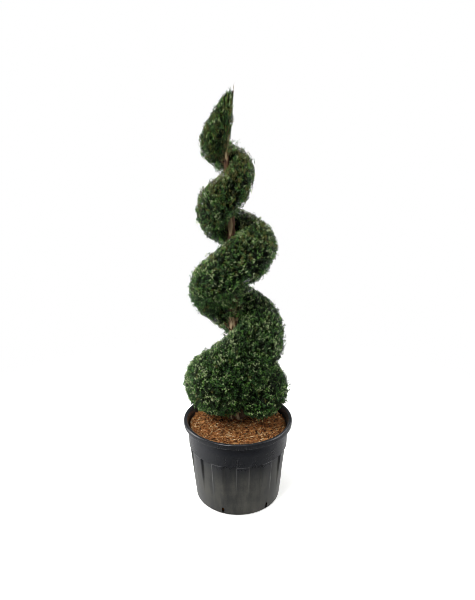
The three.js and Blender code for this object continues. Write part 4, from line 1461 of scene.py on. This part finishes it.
def trunk_growth(row, settings, rng):
    """Short growth on a stretch of the trunk."""
    lowest, highest, low, high, count = row
    at = rng.uniform(lowest, highest, count)
    angle = np.radians(rng.uniform(low, high, count))
    reach = rng.uniform(TRUNK_GROWTH_LEAST, 1, count)
    length = TRUNK_GROWTH_REACH * (TRUNK_GROWTH_ROOT + TRUNK_GROWTH_SLANT * reach)
    length = length * rng.uniform(*TRUNK_GROWTH_LENGTHS, count)
    return grow_shoots(trunk_point, free_share, at, angle, reach, length, TRUNK_UPRIGHT, settings, rng)


def mass_growth(mass, settings, rng):
    """All the stems and sprays of one mass."""
    _, start, end = MASSES[mass]
    grown = [spiral_growth(start, end, settings, rng)]
    if mass == TOP_MASS:
        grown += [top_growth(settings, rng), leader_growth(settings, rng)]
    grown += [loose_growth(row, settings, rng) for row in LOOSE if start <= row[0] < end]
    lowest, highest = spiral_height(start), spiral_height(end)
    grown += [trunk_growth(row, settings, rng) for row in TRUNK_GROWTH if lowest <= row[0] < highest]
    stems = np.concatenate([stem for stem, _ in grown])
    sprays = {key: np.concatenate([spray[key] for _, spray in grown]) for key in grown[0][1]}
    clear = clear_of_trunk(sprays["root"] + sprays["along"] * sprays["length"][:, None], SPRAY_CLEARANCE)
    return stems, {key: value[clear] for key, value in sprays.items()}


def core_mesh(mass, share, depth):
    """The dark inner growth of one mass, a solid in painted shade, lumpy like the sheared surface."""
    name, start, end = MASSES[mass]
    along, around = CORE_WAVES
    bm = rod(CORE_SIDES, int(CORE_RINGS * (end - start)) + 4)
    for vert in bm.verts:
        turn = start + vert.co.z * (end - start)
        angle = math.atan2(vert.co.y, vert.co.x)
        size = math.hypot(spiral_wide(turn) * math.cos(angle), spiral_tall(turn) * math.sin(angle))
        out = math.hypot(vert.co.x, vert.co.y) * max(share, 1 - depth / size)
        out *= 1 + CORE_LUMPS * lumps(turn, angle)
        out *= 1 + CORE_ROUGHNESS * noise.noise(
            (turn * along, math.cos(angle) * around, math.sin(angle) * around))
        out *= 1 - CORE_OPENING * openness(turn, angle)
        vert.co = spiral_point(turn, angle, out)
    if mass == TOP_MASS:
        flame = rod(*FLAME_ROD)
        first, filled = FLAME_CORE
        for vert in flame.verts:
            height = FLAME[0, 0] + (first + filled * vert.co.z) * (FLAME[-1, 0] - FLAME[0, 0])
            angle = math.atan2(vert.co.y, vert.co.x)
            vert.co = flame_point(height, angle, math.hypot(vert.co.x, vert.co.y) * share)
        join_to(bm, flame)
    bmesh.ops.recalc_face_normals(bm, faces=bm.faces)
    return mesh_of(bm, f"{name}_inner")


class TOPIARY_OT_add_foliage(bpy.types.Operator):
    """Add the needles, stems and dark inner growth in painted shade of each mass of foliage"""
    bl_idname = "topiary.add_foliage"
    bl_label = "Add foliage"

    def execute(self, context):
        settings = context.scene.topiary_foliage
        greens = [waxy_needle(f"conifer_needle_{tone}", getattr(settings, tone)) for tone in TONES]
        # painted shade: a near black matt colour for the solid inner growth that stands for the crown's
        # shade
        inner = plain_matt("shaded_inner_growth", settings.inner)
        green_stem = plain_matt("green_shoot_stem", settings.stem)
        all_stems = []
        for mass, (name, _, _) in enumerate(MASSES):
            rng = np.random.default_rng(SEED + 10 * mass)
            stems, sprays = mass_growth(mass, settings, rng)
            all_stems.append(stems)
            blades = needles_of(sprays, settings, rng).reshape(-1, 4, 3)
            tones = np.repeat(sprays["tone"], SPRAY_NEEDLES + 1)
            # a mass with too many needles for one piece has them in as few pieces as will do
            pieces = math.ceil(2 * len(blades) / PIECE_LIMIT)
            for i, chosen in enumerate(np.array_split(np.arange(len(blades)), pieces)):
                label = f"{name}_needles_{'abc'[i]}"
                mesh = mesh_of_blades(label, blades[chosen], tones[chosen])
                new_piece(label, mesh, greens, [name])
            core = core_mesh(mass, settings.core, settings.core_depth)
            new_piece(f"{name}_inner", core, [inner], [name])
        stems = np.concatenate(all_stems)
        mesh = mesh_of_tubes("shoot_stems", stems, np.tile(STEM_RADII, (len(stems), 1)))
        new_piece("shoot_stems", mesh, [green_stem], [])
        return {"FINISHED"}


# Bare twigs


def bent_paths(root, bend, tip):
    """Paths from roots over bends to tips."""
    return np.stack([root, 0.5 * (root + bend), bend, 0.5 * (bend + tip), tip], axis=1)


def mass_twigs(start, end, rng):
    """Twigs from the trunk into the underside of a stretch of the spiral."""
    count = int(TWIG_COUNT * (end - start))
    turn = rng.uniform(start, end, count)
    angle = np.radians(rng.uniform(*TWIG_ANGLES, count))
    tip = spiral_point(turn, angle, rng.uniform(*TWIG_SHARES, count))
    foot = np.maximum(tip[:, 2] - rng.uniform(*TWIG_RISE, count) * MM, TWIG_LOWEST)
    root = beside_trunk(foot, 0, 0)
    bend = 0.5 * (root + tip) - TWIG_SAG * UP + rng.normal(0, TWIG_STRAY, (count, 3))
    return bent_paths(root, bend, tip)


def fan_twigs(rng):
    """Twigs that rise from the trunk's front in its lowest window, and spread."""
    foot = rng.uniform(*FAN_HEIGHTS, FAN_TWIGS)
    root = beside_trunk(foot, 0, 0)
    root[:, 1] -= FAN_FRONT * trunk_radius(foot)
    lean = rng.uniform(*FAN_LEAN, FAN_TWIGS)
    forward = rng.uniform(*FAN_FORWARD, FAN_TWIGS)
    tip = root + FAN_LENGTH * np.stack([lean, forward, 1 - FAN_LOWER * abs(lean)], axis=-1)
    bend = 0.5 * (root + tip)
    bend[:, 0] += FAN_BEND * FAN_LENGTH * np.sign(lean)
    return bent_paths(root, bend, tip)


def leader_end():
    """The bare end of the leader, which stands out of the top."""
    foot = beside_trunk(TRUNK[-1, 0] - LEADER_FOOT, 0, 0)
    end = np.array([trunk_x(TRUNK[-1, 0]) + LEADER_LEAN, 0, FLAME[-1, 0] + LEADER_RISE])
    return (foot + np.linspace(0, 1, TWIG_POINTS)[:, None] * (end - foot))[None]


class TOPIARY_OT_add_twigs(bpy.types.Operator):
    """Add the bare twigs between the trunk and the foliage"""
    bl_idname = "topiary.add_twigs"
    bl_label = "Add twigs"

    def execute(self, context):
        rng = np.random.default_rng(TWIG_SEED)
        paths = [mass_twigs(start, end, rng) for _, start, end in MASSES]
        paths = np.concatenate([*paths, fan_twigs(rng), leader_end()])
        thickness = rng.uniform(*TWIG_RADII, (len(paths), 1)) * MM
        mesh = mesh_of_tubes("bare_twigs", paths, np.linspace(1, TWIG_TAPER, TWIG_POINTS) * thickness)
        woody = plain_matt("thin_twig_bark", context.scene.topiary_foliage.twig)
        new_piece("bare_twigs", mesh, [woody], [])
        return {"FINISHED"}


# Stage


def pale_floor(tone, glow):
    """White acrylic, lit from below, which runs out softly into the white behind it."""
    material = new_material("backlit_white_acrylic")
    place = add_node(material, "ShaderNodeTexCoord").outputs["Object"]
    out = add_node(material, "ShaderNodeVectorMath", {0: place}, operation="LENGTH").outputs["Value"]
    gone = add_node(material, "ShaderNodeMapRange", {
        "Value": out, "From Min": FLOOR_FADE[0], "From Max": FLOOR_FADE[1]},
        interpolation_type="SMOOTHSTEP").outputs[0]
    surface = add_node(material, "ShaderNodeBsdfDiffuse", {"Color": tone}).outputs[0]
    below = add_node(material, "ShaderNodeEmission", {"Color": tone, "Strength": glow}).outputs[0]
    lit = add_node(material, "ShaderNodeAddShader", {0: surface, 1: below}).outputs[0]
    clear = add_node(material, "ShaderNodeBsdfTransparent").outputs[0]
    both = add_node(material, "ShaderNodeMixShader", {0: gone, 1: lit, 2: clear}).outputs[0]
    add_node(material, "ShaderNodeOutputMaterial", {"Surface": both})
    return material


def white_studio(fill, front, back):
    """A room with a bright backdrop, which is seen as plain white behind the plant."""
    world = bpy.data.worlds.new("white_studio")
    world.use_nodes = True
    world.node_tree.nodes.clear()
    rays = add_node(world, "ShaderNodeLightPath").outputs
    heading = add_node(world, "ShaderNodeTexCoord").outputs["Generated"]
    across, depth, height = add_node(world, "ShaderNodeSeparateXYZ", {0: heading}).outputs
    left = add_node(world, "ShaderNodeMath", {0: across, 1: 0}, operation="MINIMUM").outputs[0]
    lean = add_node(world, "ShaderNodeMath", {
        0: left, 1: -LEFT_AS_BACK, 2: depth}, operation="MULTIPLY_ADD").outputs[0]
    behind = add_node(world, "ShaderNodeMapRange", {
        "Value": lean, "From Min": ROOM_BACK[0], "From Max": ROOM_BACK[1]}).outputs[0]
    low = add_node(world, "ShaderNodeMapRange", {
        "Value": height, "From Min": ROOM_DOWN[0], "From Max": ROOM_DOWN[1],
        "To Min": ROOM_LEVEL}).outputs[0]
    bright = add_node(world, "ShaderNodeMath", {0: behind, 1: low}, operation="MULTIPLY").outputs[0]
    room = add_node(world, "ShaderNodeMapRange", {
        "Value": bright, "To Min": front, "To Max": back}).outputs[0]
    soft = add_node(world, "ShaderNodeMix", {0: rays["Is Diffuse Ray"], 2: room, 3: fill}).outputs[0]
    level = add_node(world, "ShaderNodeMix", {0: rays["Is Camera Ray"], 2: soft, 3: 1.0}).outputs[0]
    light = add_node(world, "ShaderNodeBackground", {"Color": (1, 1, 1), "Strength": level})
    add_node(world, "ShaderNodeOutputWorld", {"Surface": light.outputs[0]})
    return world


def add_light(name, energy, place, size, aim):
    """Adds one soft light that is turned to a place."""
    light = bpy.data.lights.new(name, "AREA")
    light.shape = "RECTANGLE"
    light.size, light.size_y = size
    light.energy = energy
    lamp = bpy.data.objects.new(name, light)
    lamp.location = place
    lamp.rotation_euler = (Vector(aim) - Vector(place)).to_track_quat("-Z", "Y").to_euler()
    bpy.context.scene.collection.objects.link(lamp)


class TOPIARY_OT_add_stage(bpy.types.Operator):
    """Add the floor, the lights and the camera"""
    bl_idname = "topiary.add_stage"
    bl_label = "Add stage"

    def execute(self, context):
        scene = context.scene
        settings = scene.topiary_stage
        bm = bmesh.new()
        bmesh.ops.create_circle(bm, cap_ends=True, segments=FLOOR_SIDES, radius=FLOOR_RADIUS)
        floor = bpy.data.objects.new("studio_floor", mesh_of(bm, "studio_floor", smooth=False))
        floor.data.materials.append(pale_floor(settings.floor, settings.glow))
        scene.collection.objects.link(floor)
        # the foot of the pot's satin wall doesn't mirror the floor, and stays dark
        floor.visible_glossy = False

        for name, setting, place, size, aim in LIGHTS:
            add_light(name, getattr(settings, setting), place, size, aim)
        scene.world = white_studio(settings.fill, settings.front, settings.back)
        scene.view_settings.view_transform = "Standard"
        # a pixel filter that keeps single needles sharp
        scene.cycles.filter_width = 0.8

        lens = bpy.data.cameras.new("camera")
        lens.lens = settings.lens
        camera = bpy.data.objects.new("camera", lens)
        camera.location = CAMERA_PLACE
        camera.rotation_euler = (math.radians(90 - CAMERA_FALL), 0, 0)
        scene.collection.objects.link(camera)
        scene.camera = camera
        return {"FINISHED"}


OPERATORS = [
    TOPIARY_OT_add_stage,
    TOPIARY_OT_add_pot,
    TOPIARY_OT_add_soil,
    TOPIARY_OT_add_trunk,
    TOPIARY_OT_add_foliage,
    TOPIARY_OT_add_twigs,
]


class TOPIARY_PT_panel(bpy.types.Panel):
    """Spiral topiary"""
    bl_idname = "TOPIARY_PT_panel"
    bl_label = "Spiral topiary"
    bl_space_type = "VIEW_3D"
    bl_region_type = "UI"
    bl_category = "Topiary"

    def draw(self, context):
        for operator in OPERATORS:
            self.layout.operator(operator.bl_idname)
        for name, group in SETTINGS.items():
            column = self.layout.box().column()
            column.label(text=group.__doc__)
            for key in group.__annotations__:
                column.prop(getattr(context.scene, name), key)


CLASSES = [*SETTINGS.values(), *OPERATORS, TOPIARY_PT_panel]


def register():
    """Registers the classes, and gives the scene its settings."""
    for cls in CLASSES:
        bpy.utils.register_class(cls)
    for name, group in SETTINGS.items():
        setattr(bpy.types.Scene, name, PointerProperty(type=group))


def unregister():
    """Takes the settings and the classes out again."""
    for name in SETTINGS:
        delattr(bpy.types.Scene, name)
    for cls in reversed(CLASSES):
        bpy.utils.unregister_class(cls)


def main():
    """Builds the stage and the plant."""
    register()
    bpy.ops.topiary.add_stage()
    bpy.ops.topiary.add_pot()
    bpy.ops.topiary.add_soil()
    bpy.ops.topiary.add_trunk()
    bpy.ops.topiary.add_foliage()
    bpy.ops.topiary.add_twigs()


if __name__ == "__main__":
    main()
